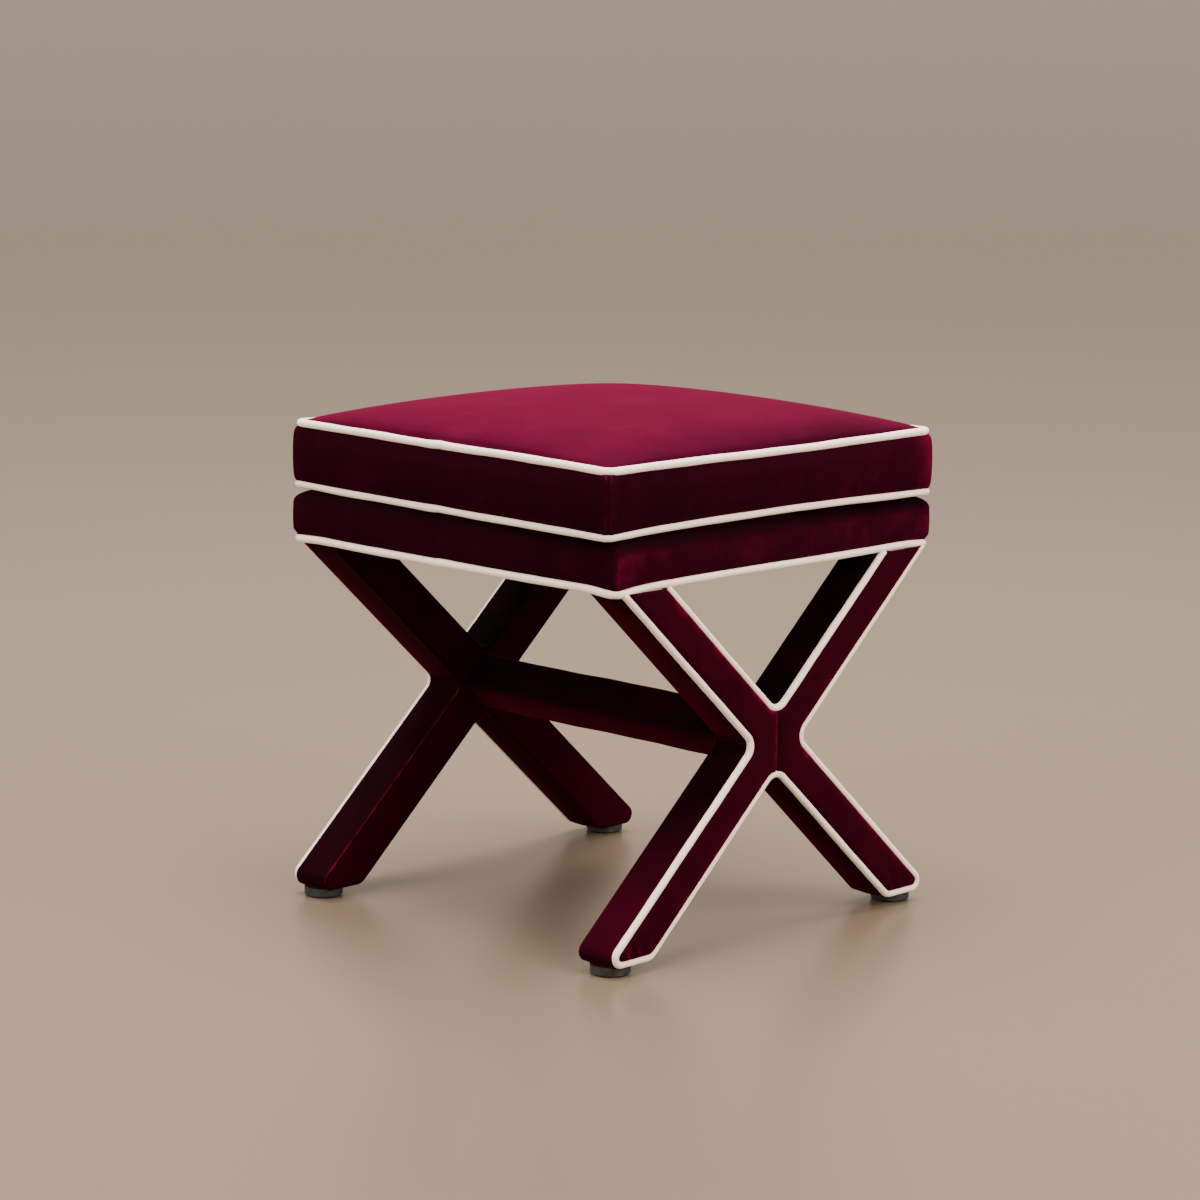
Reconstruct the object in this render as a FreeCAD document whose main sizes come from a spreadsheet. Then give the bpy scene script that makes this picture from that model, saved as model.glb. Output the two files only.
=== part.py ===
import FreeCAD, Part
import math
import os
import Sketcher
from FreeCAD import Placement, Rotation, Vector

# An upholstered X-frame stool: a loose crowned cushion on a padded base, two X-shaped end frames with a bar
# between their crossings, and four glides. The origin is on the floor, midway between the feet. X runs along
# the bar, Y across each X frame and Z up. All sizes are in millimetres.

SIZES = {
    # Seat, seen from above, over the velvet.
    "seat_width": 466,
    "seat_depth": 466,
    # Cover fabric, and the piping that stands proud of it.
    "velvet": 1,
    "welt_diameter": 8,
    "welt_proud": 2,
    "welt_slack": 0.25,
    # Glides under the feet.
    "glide_diameter": 40,
    "glide_height": 10,
    "glide_inset": 2,
    "glide_chamfer": 2,
    "glide_head_depth": 5,
    # X frames. The insets run from the seat's edge to a leg's middle line, at the floor and under the base.
    "foot_inset": 21,
    "leg_top_inset": 42.5,
    "leg_width": 46,
    "leg_depth": 49,
    "leg_face_pad": 2,
    "notch_radius": 20,
    "foot_outer_radius": 4,
    "foot_inner_radius": 10,
    # Bar between the crossings, set on its edge.
    "bar_width": 43,
    "bar_pad": 5,
    "bar_corner_radius": 4,
    # Base under the cushion.
    "base_underside": 376,
    "base_height": 52,
    "base_corner_radius": 4,
    "base_top_pad": 6,
    "deck_thickness": 9,
    "rail_thickness": 20,
    "end_rail_width": 46,
    "hem_width": 24,
    "block_side": 42,
    # Loose cushion.
    "cushion_gap": 0.3,
    "cushion_seam_height": 66.5,
    "cushion_crown": 27,
    "cushion_draw_in": 2.5,
    "cushion_corner_radius": 4,
    "cushion_wadding": 5,
    # Fasteners.
    "glide_screw_diameter": 5,
    "glide_screw_bite": 16,
    "rail_screw_diameter": 5,
    "rail_screw_length": 50,
    "deck_screw_diameter": 4,
    "deck_screw_length": 30,
    "coach_screw_diameter": 8,
    "coach_screw_bite": 22,
    "coach_recess": 10,
    "bolt_diameter": 8,
    "bolt_length": 75,
    "bolt_recess": 10,
    "nut_diameter": 14,
    "nut_length": 22,
}

doc = FreeCAD.newDocument("x_frame_stool")
sheet = doc.addObject("Spreadsheet::Sheet", "Sizes")
for row, (alias, number) in enumerate(SIZES.items(), 1):
    sheet.set(f"A{row}", alias)
    sheet.set(f"B{row}", str(number))
    sheet.setAlias(f"B{row}", alias)
doc.recompute()


class Dim:
    """A size that knows its expression in the document and its value."""

    def __init__(self, text, value):
        self.text = text
        self.value = value

    def __add__(self, other):
        other = dim(other)
        return Dim(f"({self.text} + {other.text})", self.value + other.value)

    def __sub__(self, other):
        other = dim(other)
        return Dim(f"({self.text} - {other.text})", self.value - other.value)

    def __mul__(self, other):
        other = dim(other)
        return Dim(f"({self.text} * {other.text})", self.value * other.value)

    def __truediv__(self, other):
        other = dim(other)
        return Dim(f"({self.text} / {other.text})", self.value / other.value)

    def __neg__(self):
        return self * -1


def dim(size):
    """A plain number or a size, as a size."""
    return size if isinstance(size, Dim) else Dim(f"({size})", float(size))


def root(size):
    """Square root of a size."""
    return Dim(f"sqrt({size.text})", math.sqrt(size.value))


def bind(thing, sizes):
    """Drives properties of a document object by sizes."""
    for name, size in sizes.items():
        thing.setExpression(name, dim(size).text)


S = {alias: Dim(f"Sizes.{alias}", float(sheet.get(alias))) for alias in SIZES}

# Sizes that follow from the driving ones. Insets are measured inwards from the velvet's outline.
HALF_X = S["seat_width"] / 2
HALF_Y = S["seat_depth"] / 2
WELT_RADIUS = S["welt_diameter"] / 2
WELT_INSET = WELT_RADIUS - S["welt_proud"]
WELT_ROOM = S["welt_diameter"] + S["welt_slack"]
CORE_INSET = WELT_ROOM - S["welt_proud"]

FOOT_Y = HALF_Y - S["foot_inset"]
TOP_Y = HALF_Y - S["leg_top_inset"]
SLOPE = (S["base_underside"] - S["glide_height"]) / (FOOT_Y + TOP_Y)
CROSS_Z = S["glide_height"] + SLOPE * FOOT_Y
RISE_PER_WIDTH = root(SLOPE * SLOPE + 1)
RUN_PER_WIDTH = RISE_PER_WIDTH / SLOPE
LEG_INNER_X = HALF_X - S["leg_depth"]
CORE_INNER_X = LEG_INNER_X + S["velvet"] + S["leg_face_pad"]
STEP_X = HALF_X - CORE_INSET
CORE_OUTER_X = STEP_X - S["leg_face_pad"]
LAP_X = (CORE_INNER_X + CORE_OUTER_X) / 2
CORE_FOOT = S["glide_height"] + S["velvet"]
CORE_RUN = (S["leg_width"] / 2 - CORE_INSET) * RUN_PER_WIDTH

GLIDE_X = HALF_X - S["leg_depth"] / 2
GLIDE_Y = FOOT_Y - S["glide_inset"]

BASE_TOP = S["base_underside"] + S["base_height"]
BASE_SKIRT = S["base_underside"] + WELT_ROOM
RAIL_LOW = S["base_underside"] + S["velvet"]
DECK_TOP = BASE_TOP - S["velvet"] - S["base_top_pad"]
DECK_LOW = DECK_TOP - S["deck_thickness"]
RAIL_X = HALF_X - CORE_INSET
RAIL_Y = HALF_Y - CORE_INSET
RAIL_INNER_X = RAIL_X - S["end_rail_width"]
RAIL_INNER_Y = RAIL_Y - S["rail_thickness"]
RAIL_MID_Z = (RAIL_LOW + DECK_LOW) / 2

COACH_X = LAP_X
COACH_Y = TOP_Y - CORE_RUN / 2

CUSHION_LOW = BASE_TOP + S["cushion_gap"]
SEAM_Z = CUSHION_LOW + S["cushion_seam_height"]
BOXING_LOW = CUSHION_LOW + WELT_ROOM
BOXING_TOP = SEAM_Z - WELT_RADIUS - S["welt_slack"]
FILL_LOW = CUSHION_LOW + S["velvet"]
FOAM_INSET = CORE_INSET + S["cushion_wadding"]

SIGNS = (-1, 1)


def corner(radius, inset):
    """Radius of a convex corner at an inset, where the driving radius is the one at the core inset."""
    return S[radius] + CORE_INSET - inset


# How much of a leg's pointed toe is cut off, so that it stays inside the rounded cover.
TOE_ROUND = corner("foot_outer_radius", S["velvet"]) * SLOPE / (RISE_PER_WIDTH - 1)
TOE_CUT = TOE_ROUND - (CORE_INSET - S["velvet"]) * RUN_PER_WIDTH + 2


# Document helpers.


def box(name, x, y, z):
    """Block between a low and a high limit along each axis."""
    block = doc.addObject("Part::Box", name)
    bind(block, {"Length": x[1] - x[0], "Width": y[1] - y[0], "Height": z[1] - z[0]})
    bind(block, {"Placement.Base.x": x[0], "Placement.Base.y": y[0], "Placement.Base.z": z[0]})
    return block


def rod(name, diameter, start, length, axis):
    """Cylinder from a start point along an axis."""
    cylinder = doc.addObject("Part::Cylinder", name)
    cylinder.Placement = Placement(Vector(), Rotation(Vector(0, 0, 1), Vector(*axis)))
    bind(cylinder, {"Radius": diameter / 2, "Height": length})
    bind(cylinder, {f"Placement.Base.{way}": size for way, size in zip("xyz", start)})
    return cylinder


def combine(kind, name, parts):
    """Fusion, common part or compound of several objects."""
    result = doc.addObject(kind, name)
    if kind == "Part::Compound":
        result.Links = parts
    else:
        result.Shapes = parts
    return result


def fuse(name, *parts):
    return combine("Part::MultiFuse", name, list(parts))


def common(name, *parts):
    return combine("Part::MultiCommon", name, list(parts))


def group(name, *parts):
    return combine("Part::Compound", name, list(parts))


def cut(name, base, *tools):
    """Base with the tools taken out of it one after another."""
    for number, tool in enumerate(tools, 1):
        result = doc.addObject("Part::Cut", name if number == len(tools) else f"{name}_cut_{number}")
        result.Base = base
        result.Tool = tool
        base = result
    return base


def turned(name, thing):
    """Copy of an object, turned half a turn about the upright middle axis."""
    copy = group(name, thing)
    copy.Placement = Placement(Vector(), Rotation(Vector(0, 0, 1), 180))
    return copy


def edge_names(shape, test):
    """Names of the edges of a shape that pass a test."""
    return [f"Edge{number}" for number, edge in enumerate(shape.Edges, 1) if test(edge)]


def runs_along(axis, spots):
    """Test for straight edges along an axis (0, 1 or 2) through one of the spots on the other two axes."""
    others = [way for way in range(3) if way != axis]

    def test(edge):
        ends = [vertex.Point for vertex in edge.Vertexes]
        return len(ends) == 2 and any(
            abs(ends[0][others[0]] - a.value) < 0.01 and abs(ends[1][others[0]] - a.value) < 0.01
            and abs(ends[0][others[1]] - b.value) < 0.01 and abs(ends[1][others[1]] - b.value) < 0.01
            for a, b in spots
        )

    return test


def lies_at(axis, level):
    """Test for edges that lie at one level of an axis."""
    return lambda edge: all(abs(point[axis] - level.value) < 0.01 for point in edge.discretize(5))


def new_sketch(body, name, plane, offset):
    """Sketch at an offset from one of the body's own planes."""
    sketch = body.newObject("Sketcher::SketchObject", name)
    face = next(item for item in body.Origin.OriginFeatures if item.Role == plane)
    sketch.AttachmentSupport = (face, [""])
    sketch.MapMode = "FlatFace"
    bind(sketch, {"AttachmentOffset.Base.z": offset})
    return sketch


def pin(sketch, line, end, spot):
    """Holds one end of a sketch line at a spot given by two sizes."""
    for kind, size in zip(("DistanceX", "DistanceY"), spot):
        number = sketch.addConstraint(Sketcher.Constraint(kind, -1, 1, line, end, size.value))
        bind(sketch, {f"Constraints[{number}]": size})


def polygon(body, name, plane, offset, points):
    """Closed sketch of straight lines through points given by sizes."""
    sketch = new_sketch(body, name, plane, offset)
    spots = [Vector(across.value, up.value, 0) for across, up in points]
    for here, there in zip(spots, spots[1:] + spots[:1]):
        sketch.addGeometry(Part.LineSegment(here, there))
    for line, point in enumerate(points):
        sketch.addConstraint(Sketcher.Constraint("Coincident", line, 2, (line + 1) % len(points), 1))
        pin(sketch, line, 1, point)
    return sketch


def drawn_in_square(body, name, offset, half_x, half_y, draw_in):
    """Closed sketch of four shallow arcs, drawn in at the middle of each side."""
    sketch = new_sketch(body, name, "XY_Plane", offset)
    corners = [(half_x * sx, half_y * sy) for sx, sy in ((-1, -1), (1, -1), (1, 1), (-1, 1))]
    middles = [(0, 1), (-1, 0), (0, -1), (1, 0)]
    for line, (sx, sy) in enumerate(middles):
        here = Vector(*[size.value for size in corners[line]])
        there = Vector(*[size.value for size in corners[(line + 1) % 4]])
        sketch.addGeometry(Part.Arc(here, (here + there) / 2 + Vector(sx, sy) * draw_in.value, there))
    for line, (sx, sy) in enumerate(middles):
        sketch.addConstraint(Sketcher.Constraint("Coincident", line, 1, (line + 1) % 4, 2))
        pin(sketch, line, 2, corners[line])
        half = half_y if sy == 0 else half_x
        bend = (half * half + draw_in * draw_in) / (draw_in * 2)
        number = sketch.addConstraint(Sketcher.Constraint("Radius", line, bend.value))
        bind(sketch, {f"Constraints[{number}]": bend})
    return sketch


def pad(body, sketch, length):
    """Pads a sketch along its normal."""
    feature = body.newObject("PartDesign::Pad", f"{sketch.Name}_pad")
    feature.Profile = sketch
    bind(feature, {"Length": length})
    doc.recompute()
    return feature


def dress(body, kind, test, sizes):
    """Fillet or chamfer on the edges of a body that pass a test."""
    base = body.Tip
    feature = body.newObject(f"PartDesign::{kind}", f"{body.Name}_{kind.lower()}")
    feature.Base = (base, edge_names(base.Shape, test))
    bind(feature, sizes)
    doc.recompute()


def fillet(body, test, radius):
    """Rounds the edges of a body that pass a test."""
    dress(body, "Fillet", test, {"Radius": radius})


def block(name, inset, z, radius, top_radius=None, draw_in=None):
    """Square block at an inset from the seat's outline, with rounded corners."""
    body = doc.addObject("PartDesign::Body", name)
    half_x = HALF_X - inset
    half_y = HALF_Y - inset
    corners = [(half_x * sx, half_y * sy) for sx, sy in ((-1, -1), (1, -1), (1, 1), (-1, 1))]
    if draw_in is None:
        sketch = polygon(body, f"{name}_outline", "XY_Plane", z[0], corners)
    else:
        sketch = drawn_in_square(body, f"{name}_outline", z[0], half_x, half_y, draw_in)
    pad(body, sketch, z[1] - z[0])
    fillet(body, runs_along(2, corners), radius)
    if top_radius is not None:
        fillet(body, lies_at(2, z[1]), top_radius)
    return body


def welt(name, path, edges, spot, facing):
    """Round cord along some edges of a path, from a circle set on them at a spot."""
    section = doc.addObject("Part::Circle", f"{name}_section")
    section.Placement = Placement(Vector(), Rotation(Vector(0, 0, 1), Vector(*facing)))
    bind(section, {"Radius": WELT_RADIUS})
    bind(section, {f"Placement.Base.{way}": size for way, size in zip("xyz", spot)})
    cord = doc.addObject("Part::Sweep", name)
    cord.Sections = [section]
    cord.Spine = (path, edges)
    cord.Solid = True
    return cord


def countersunk_screw(name, diameter, head, length, axis):
    """Screw that lies flush: a cone-shaped head that narrows into the shank, its top at the start point."""
    shank = rod(f"{name}_shank", diameter, head, length, axis)
    cone = doc.addObject("Part::Cone", f"{name}_head")
    cone.Placement = Placement(Vector(), Rotation(Vector(0, 0, 1), Vector(*axis)))
    bind(cone, {"Radius1": diameter, "Radius2": diameter / 2, "Height": diameter / 2})
    bind(cone, {f"Placement.Base.{way}": size for way, size in zip("xyz", head)})
    return fuse(name, shank, cone)


# X frames: outline of the two crossing legs, at an inset from the velvet.


def x_points(inset, low, high):
    """Twelve corners of the X, between a low and a high level."""
    run = (S["leg_width"] / 2 - inset) * RUN_PER_WIDTH
    rise = (S["leg_width"] / 2 - inset) * RISE_PER_WIDTH
    mid = CROSS_Z
    top = (high - mid) / SLOPE
    foot = (mid - low) / SLOPE
    return {
        "top": [(-top - run, high), (-top + run, high), (top - run, high), (top + run, high)],
        "notch": [(dim(0), mid + rise), (run, mid), (dim(0), mid - rise), (-run, mid)],
        "foot_outer": [(foot + run, low), (-foot - run, low)],
        "foot_inner": [(foot - run, low), (-foot + run, low)],
    }


def x_prism(name, inset, low, x, high=S["base_underside"]):
    """X between two levels of X, with rounded notches and feet."""
    body = doc.addObject("PartDesign::Body", name)
    spots = x_points(inset, low, high)
    top, notch = spots["top"], spots["notch"]
    outer, inner = spots["foot_outer"], spots["foot_inner"]
    points = [
        top[0], top[1], notch[0], top[2], top[3], notch[1],
        outer[0], inner[0], notch[2], inner[1], outer[1], notch[3],
    ]
    pad(body, polygon(body, f"{name}_outline", "YZ_Plane", x[0], points), x[1] - x[0])
    fillet(body, runs_along(0, notch), S["notch_radius"] + inset)
    fillet(body, runs_along(0, outer), corner("foot_outer_radius", inset))
    fillet(body, runs_along(0, inner), corner("foot_inner_radius", inset))
    return body


def leg_points(lean):
    """Corners of one hardwood leg, leaning to +Y (1) or to -Y (-1) as it rises."""
    top = TOP_Y * lean
    foot = (CROSS_Z - CORE_FOOT) / SLOPE * -lean
    return [
        (foot - CORE_RUN, CORE_FOOT), (foot + CORE_RUN, CORE_FOOT),
        (top + CORE_RUN, S["base_underside"]), (top - CORE_RUN, S["base_underside"]),
    ]


def leg(name, lean):
    """Hardwood leg, halved at the crossing: one leg keeps its inner half there, the other its outer half."""
    body = doc.addObject("PartDesign::Body", name)
    bar = polygon(body, f"{name}_bar", "YZ_Plane", CORE_INNER_X, leg_points(lean))
    pad(body, bar, CORE_OUTER_X - CORE_INNER_X)
    toe = leg_points(lean)[0 if lean > 0 else 1]
    dress(body, "Chamfer", runs_along(0, [toe]), {"Size": TOE_CUT})
    lap_plane = CORE_OUTER_X if lean > 0 else LAP_X
    lap = body.newObject("PartDesign::Pocket", f"{name}_lap")
    lap.Profile = polygon(body, f"{name}_lap_outline", "YZ_Plane", lap_plane, leg_points(-lean))
    bind(lap, {"Length": CORE_OUTER_X - LAP_X})
    doc.recompute()
    return body


# Fasteners come first, because their own shapes make the holes that they sit in.

HEAD_FACE = S["glide_head_depth"]
glide_screw_parts = []
for sx in SIGNS:
    for sy in SIGNS:
        place = (GLIDE_X * sx, GLIDE_Y * sy)
        name = f"glide_screw_{len(glide_screw_parts)}"
        head = rod(
            f"{name}_head", S["glide_screw_diameter"] * 2, (*place, HEAD_FACE - 3.5), dim(3.5), (0, 0, 1)
        )
        shank = rod(
            f"{name}_shank", S["glide_screw_diameter"], (*place, HEAD_FACE - 1),
            CORE_FOOT + S["glide_screw_bite"] - HEAD_FACE + 1, (0, 0, 1),
        )
        glide_screw_parts.append(fuse(name, head, shank))
glide_screws = group("glide_screws", *glide_screw_parts)

coach_parts = []
coach_recess_parts = []
COACH_SEAT = DECK_LOW - S["coach_recess"]
COACH_HEAD = S["coach_screw_diameter"] * 1.9
COACH_WASHER = S["coach_screw_diameter"] * 2.2
for sx in SIGNS:
    for sy in SIGNS:
        place = (COACH_X * sx, COACH_Y * sy)
        name = f"coach_screw_{len(coach_parts)}"
        shank = rod(
            f"{name}_shank", S["coach_screw_diameter"], (*place, S["base_underside"] - S["coach_screw_bite"]),
            COACH_SEAT - S["base_underside"] + S["coach_screw_bite"] + 1, (0, 0, 1),
        )
        washer = rod(f"{name}_washer", COACH_WASHER, (*place, COACH_SEAT), dim(2), (0, 0, 1))
        head = doc.addObject("Part::Prism", f"{name}_head")
        bind(head, {"Circumradius": COACH_HEAD / 2, "Height": S["coach_screw_diameter"] * 0.7})
        bind(head, {"Placement.Base.x": place[0], "Placement.Base.y": place[1]})
        bind(head, {"Placement.Base.z": COACH_SEAT + 1.5})
        coach_parts.append(fuse(name, shank, washer, head))
        coach_recess_parts.append(rod(
            f"{name}_recess", COACH_WASHER + 2, (*place, COACH_SEAT), S["coach_recess"] + 1, (0, 0, 1)
        ))
leg_coach_screws = group("leg_coach_screws", *coach_parts)
coach_recesses = group("coach_recesses", *coach_recess_parts)

rail_screw_parts = []
for sx in SIGNS:
    for sy in SIGNS:
        for edge in SIGNS:
            place = ((RAIL_X - S["end_rail_width"] * (0.5 + 0.28 * edge)) * sx, RAIL_Y * sy, RAIL_MID_Z)
            rail_screw_parts.append(countersunk_screw(
                f"rail_screw_{len(rail_screw_parts)}", S["rail_screw_diameter"], place,
                S["rail_screw_length"], (0, -sy, 0),
            ))
rail_screws = group("rail_screws", *rail_screw_parts)

deck_screw_parts = []
for sx in SIGNS:
    for sy in SIGNS:
        on_front = (S["seat_width"] / 5 * sx, (RAIL_Y + RAIL_INNER_Y) / 2 * sy, DECK_TOP)
        on_end = ((RAIL_X + RAIL_INNER_X) / 2 * sx, S["seat_depth"] / 5 * sy, DECK_TOP)
        for place in (on_front, on_end):
            deck_screw_parts.append(countersunk_screw(
                f"deck_screw_{len(deck_screw_parts)}", S["deck_screw_diameter"], place,
                S["deck_screw_length"], (0, 0, -1),
            ))
deck_screws = group("deck_screws", *deck_screw_parts)

BOLT_SEAT = CORE_OUTER_X - S["bolt_recess"]
NUT_X = BOLT_SEAT - S["bolt_length"] + S["nut_diameter"]
BOLT_START = (BOLT_SEAT, dim(0), CROSS_Z)
BOLT_WASHER = S["bolt_diameter"] * 2.2
bolt_shank = rod("bolt_shank", S["bolt_diameter"], BOLT_START, S["bolt_length"], (-1, 0, 0))
bolt_head = rod("bolt_head", S["bolt_diameter"] * 1.6, BOLT_START, S["bolt_diameter"], (1, 0, 0))
bolt_washer = rod("bolt_washer", BOLT_WASHER, BOLT_START, dim(1.6), (1, 0, 0))
bolt_right = fuse("bolt_right", bolt_shank, bolt_head, bolt_washer)
bar_bolts = group("bar_bolts", bolt_right, turned("bolt_left", bolt_right))
bolt_recess = rod("bolt_recess_hole", BOLT_WASHER + 2, BOLT_START, S["bolt_recess"] + 1, (1, 0, 0))


def nut_rod(name, reach):
    """Cylinder across the bar at right angles to one of its faces, from the nut's far end."""
    back = S["nut_length"] / 2 / math.sqrt(2)
    return rod(name, S["nut_diameter"], (NUT_X, -back, CROSS_Z - back), reach, (0, 1, 1))


nut_right = cut("nut_right", nut_rod("nut_blank", S["nut_length"]), bolt_right)
bar_nuts = group("bar_nuts", nut_right, turned("nut_left", nut_right))
nut_hole = nut_rod("nut_hole", S["nut_length"] / 2 + S["bar_width"] / 2)
nut_holes = group("nut_holes", nut_hole, turned("nut_hole_left", nut_hole))

# Bar between the crossings: hardwood core on its edge, padding and a velvet sleeve.


def bar_block(name, width, reach, radius=None):
    """Square bar set on its edge, as long each way as the reach."""
    body = doc.addObject("PartDesign::Body", name)
    half = width / math.sqrt(2)
    mid = CROSS_Z
    points = [(dim(0), mid - half), (half, mid), (dim(0), mid + half), (-half, mid)]
    pad(body, polygon(body, f"{name}_outline", "YZ_Plane", -reach, points), reach * 2)
    if radius is not None:
        fillet(body, runs_along(0, points), radius)
    return body


BAR_PAD_WIDTH = S["bar_width"] - S["velvet"] * 2
core_blank = bar_block("bar_core_blank", BAR_PAD_WIDTH - S["bar_pad"] * 2, CORE_INNER_X)
pad_blank = bar_block("bar_pad_blank", BAR_PAD_WIDTH, LEG_INNER_X, S["bar_corner_radius"])
sleeve_blank = bar_block(
    "bar_sleeve_blank", S["bar_width"], LEG_INNER_X, S["bar_corner_radius"] + S["velvet"]
)
bar_core = cut("bar_core", core_blank, bar_bolts, nut_holes)
bar_padding = cut("bar_padding", pad_blank, core_blank)
bar_sleeve = cut("bar_sleeve", sleeve_blank, pad_blank)

# Right X frame. The left one is the same frame turned half a turn.

leg_rising_blank = leg("leg_rising_blank", 1)
leg_falling_blank = leg("leg_falling_blank", -1)
leg_holes = (glide_screws, leg_coach_screws, bolt_right)
right_leg_rising = cut("right_leg_rising", leg_rising_blank, *leg_holes)
right_leg_falling = cut("right_leg_falling", leg_falling_blank, *leg_holes, bolt_recess)

x_outer = x_prism("x_outer", dim(0), S["glide_height"], (LEG_INNER_X, STEP_X))
x_lining = x_prism("x_lining", S["velvet"], CORE_FOOT, (LEG_INNER_X + S["velvet"], STEP_X + 1))
x_lining_short = x_prism("x_lining_short", S["velvet"], CORE_FOOT, (LEG_INNER_X + S["velvet"], STEP_X))
x_facing = x_prism(
    "x_facing", CORE_INSET, S["glide_height"] + WELT_ROOM, (STEP_X - 1, HALF_X - S["velvet"])
)
x_face = x_prism("x_face", CORE_INSET, S["glide_height"] + WELT_ROOM, (HALF_X - S["velvet"], HALF_X))

right_x_wrap = cut("right_x_wrap", x_outer, x_lining, glide_screws, core_blank)
x_padding_blank = fuse("x_padding_blank", x_lining_short, x_facing)
x_padding_whole = cut(
    "x_padding_whole", x_padding_blank, leg_rising_blank, leg_falling_blank, core_blank, glide_screws
)

# The face is sewn from a front and a back panel; the padding is four sleeves, one on each arm of the X.
FRAME_X = (dim(0), HALF_X * 2)
SIDES = {"front": (-HALF_Y * 2, dim(0)), "back": (dim(0), HALF_Y * 2)}
LEVELS = {"lower": (dim(0), CROSS_Z), "upper": (CROSS_Z, BASE_TOP)}
right_x_faces = [
    common(f"right_x_face_{side}", x_face, box(f"{side}_half", FRAME_X, room, (dim(0), BASE_TOP)))
    for side, room in SIDES.items()
]
sleeves = [
    common(f"x_padding_{level}_{side}", x_padding_whole, box(f"{level}_{side}_room", FRAME_X, room, heights))
    for level, heights in LEVELS.items()
    for side, room in SIDES.items()
]
right_x_padding = group("right_x_padding", *sleeves)

PATH_TOP = S["base_underside"] + S["welt_diameter"] * 2
WELT_X = HALF_X - WELT_INSET
x_path = x_prism(
    "x_path", WELT_INSET, S["glide_height"] + WELT_RADIUS, (WELT_X - 10, WELT_X), PATH_TOP
)
path_top = x_points(WELT_INSET, S["glide_height"] + WELT_RADIUS, PATH_TOP)["top"]


def on_x_path(short):
    """Test for the edges that carry the short cord above the crossing, or the long one around the rest."""
    face = lies_at(0, WELT_X)
    rim = lies_at(2, PATH_TOP)

    def test(edge):
        points = edge.discretize(5)
        above = all(point.z - CROSS_Z.value > abs(point.y) * SLOPE.value for point in points)
        return face(edge) and not rim(edge) and above == short

    return test


long_cord = welt(
    "x_welt_long", x_path, edge_names(x_path.Shape, on_x_path(False)),
    (WELT_X, *path_top[3]), (0, 1, SLOPE.value),
)
short_cord = welt(
    "x_welt_short", x_path, edge_names(x_path.Shape, on_x_path(True)),
    (WELT_X, *path_top[2]), (0, 1, SLOPE.value),
)
WELT_TOP = S["base_underside"] - S["welt_slack"]
below_base = box("below_base", FRAME_X, (SIDES["front"][0], SIDES["back"][1]), (dim(0), WELT_TOP))
right_x_welt = group(
    "right_x_welt",
    common("x_welt_long_cut", long_cord, below_base),
    common("x_welt_short_cut", short_cord, below_base),
)

right_frame = [
    right_leg_rising, right_leg_falling, right_x_padding, right_x_wrap, *right_x_faces, right_x_welt,
]
TURNED_NAMES = {"front": "back", "back": "front"}
left_frame = []
for item in right_frame:
    words = [TURNED_NAMES.get(word, word) for word in item.Name.split("_")[1:]]
    left_frame.append(turned("_".join(["left", *words]), item))

# Glides, turned about their own axis, with a sunk seat for the screw head.


def glide(name, sx, sy):
    """Round glide with a chamfered lower rim."""
    body = doc.addObject("PartDesign::Body", name)
    radius = S["glide_diameter"] / 2
    hole = S["glide_screw_diameter"] / 2
    seat = S["glide_screw_diameter"] * 1.2
    points = [
        (seat, dim(0)), (radius - S["glide_chamfer"], dim(0)), (radius, S["glide_chamfer"]),
        (radius, S["glide_height"]), (hole, S["glide_height"]), (hole, HEAD_FACE), (seat, HEAD_FACE),
    ]
    turning = body.newObject("PartDesign::Revolution", f"{name}_turning")
    turning.Profile = polygon(body, f"{name}_profile", "XZ_Plane", dim(0), points)
    turning.ReferenceAxis = (next(item for item in body.Origin.OriginFeatures if item.Role == "Z_Axis"), [""])
    turning.Angle = 360
    bind(body, {"Placement.Base.x": GLIDE_X * sx, "Placement.Base.y": GLIDE_Y * sy})
    return body


glides = [
    glide(f"glide_{end}_{side}", sx, sy)
    for end, sx in (("left", -1), ("right", 1))
    for side, sy in (("front", -1), ("back", 1))
]

# Base: screwed rails, corner blocks and deck, then padding, velvet cover, welt and dust cover.

rail_frame = block("rail_frame", CORE_INSET, (RAIL_LOW, DECK_LOW), S["base_corner_radius"])
rail_levels = (RAIL_LOW, DECK_LOW)
front_room = box("front_room", (-RAIL_X, RAIL_X), (-RAIL_Y, -RAIL_INNER_Y), rail_levels)
back_room = box("back_room", (-RAIL_X, RAIL_X), (RAIL_INNER_Y, RAIL_Y), rail_levels)
left_room = box("left_room", (-RAIL_X, -RAIL_INNER_X), (-RAIL_INNER_Y, RAIL_INNER_Y), rail_levels)
right_room = box("right_room", (RAIL_INNER_X, RAIL_X), (-RAIL_INNER_Y, RAIL_INNER_Y), rail_levels)
front_rail = cut("front_rail", common("front_rail_blank", rail_frame, front_room), rail_screws, deck_screws)
back_rail = cut("back_rail", common("back_rail_blank", rail_frame, back_room), rail_screws, deck_screws)
end_holes = (rail_screws, deck_screws, leg_coach_screws, coach_recesses)
left_rail = cut("left_rail", left_room, *end_holes)
right_rail = cut("right_rail", right_room, *end_holes)

block_parts = []
for sx in SIGNS:
    for sy in SIGNS:
        glue_block = doc.addObject("PartDesign::Body", f"corner_block_{len(block_parts)}")
        block_points = [
            (RAIL_INNER_X * sx, RAIL_INNER_Y * sy),
            ((RAIL_INNER_X - S["block_side"]) * sx, RAIL_INNER_Y * sy),
            (RAIL_INNER_X * sx, (RAIL_INNER_Y - S["block_side"]) * sy),
        ]
        triangle = polygon(glue_block, f"{glue_block.Name}_outline", "XY_Plane", RAIL_LOW, block_points)
        pad(glue_block, triangle, DECK_LOW - RAIL_LOW)
        block_parts.append(glue_block)
corner_blocks = group("corner_blocks", *block_parts)

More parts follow.
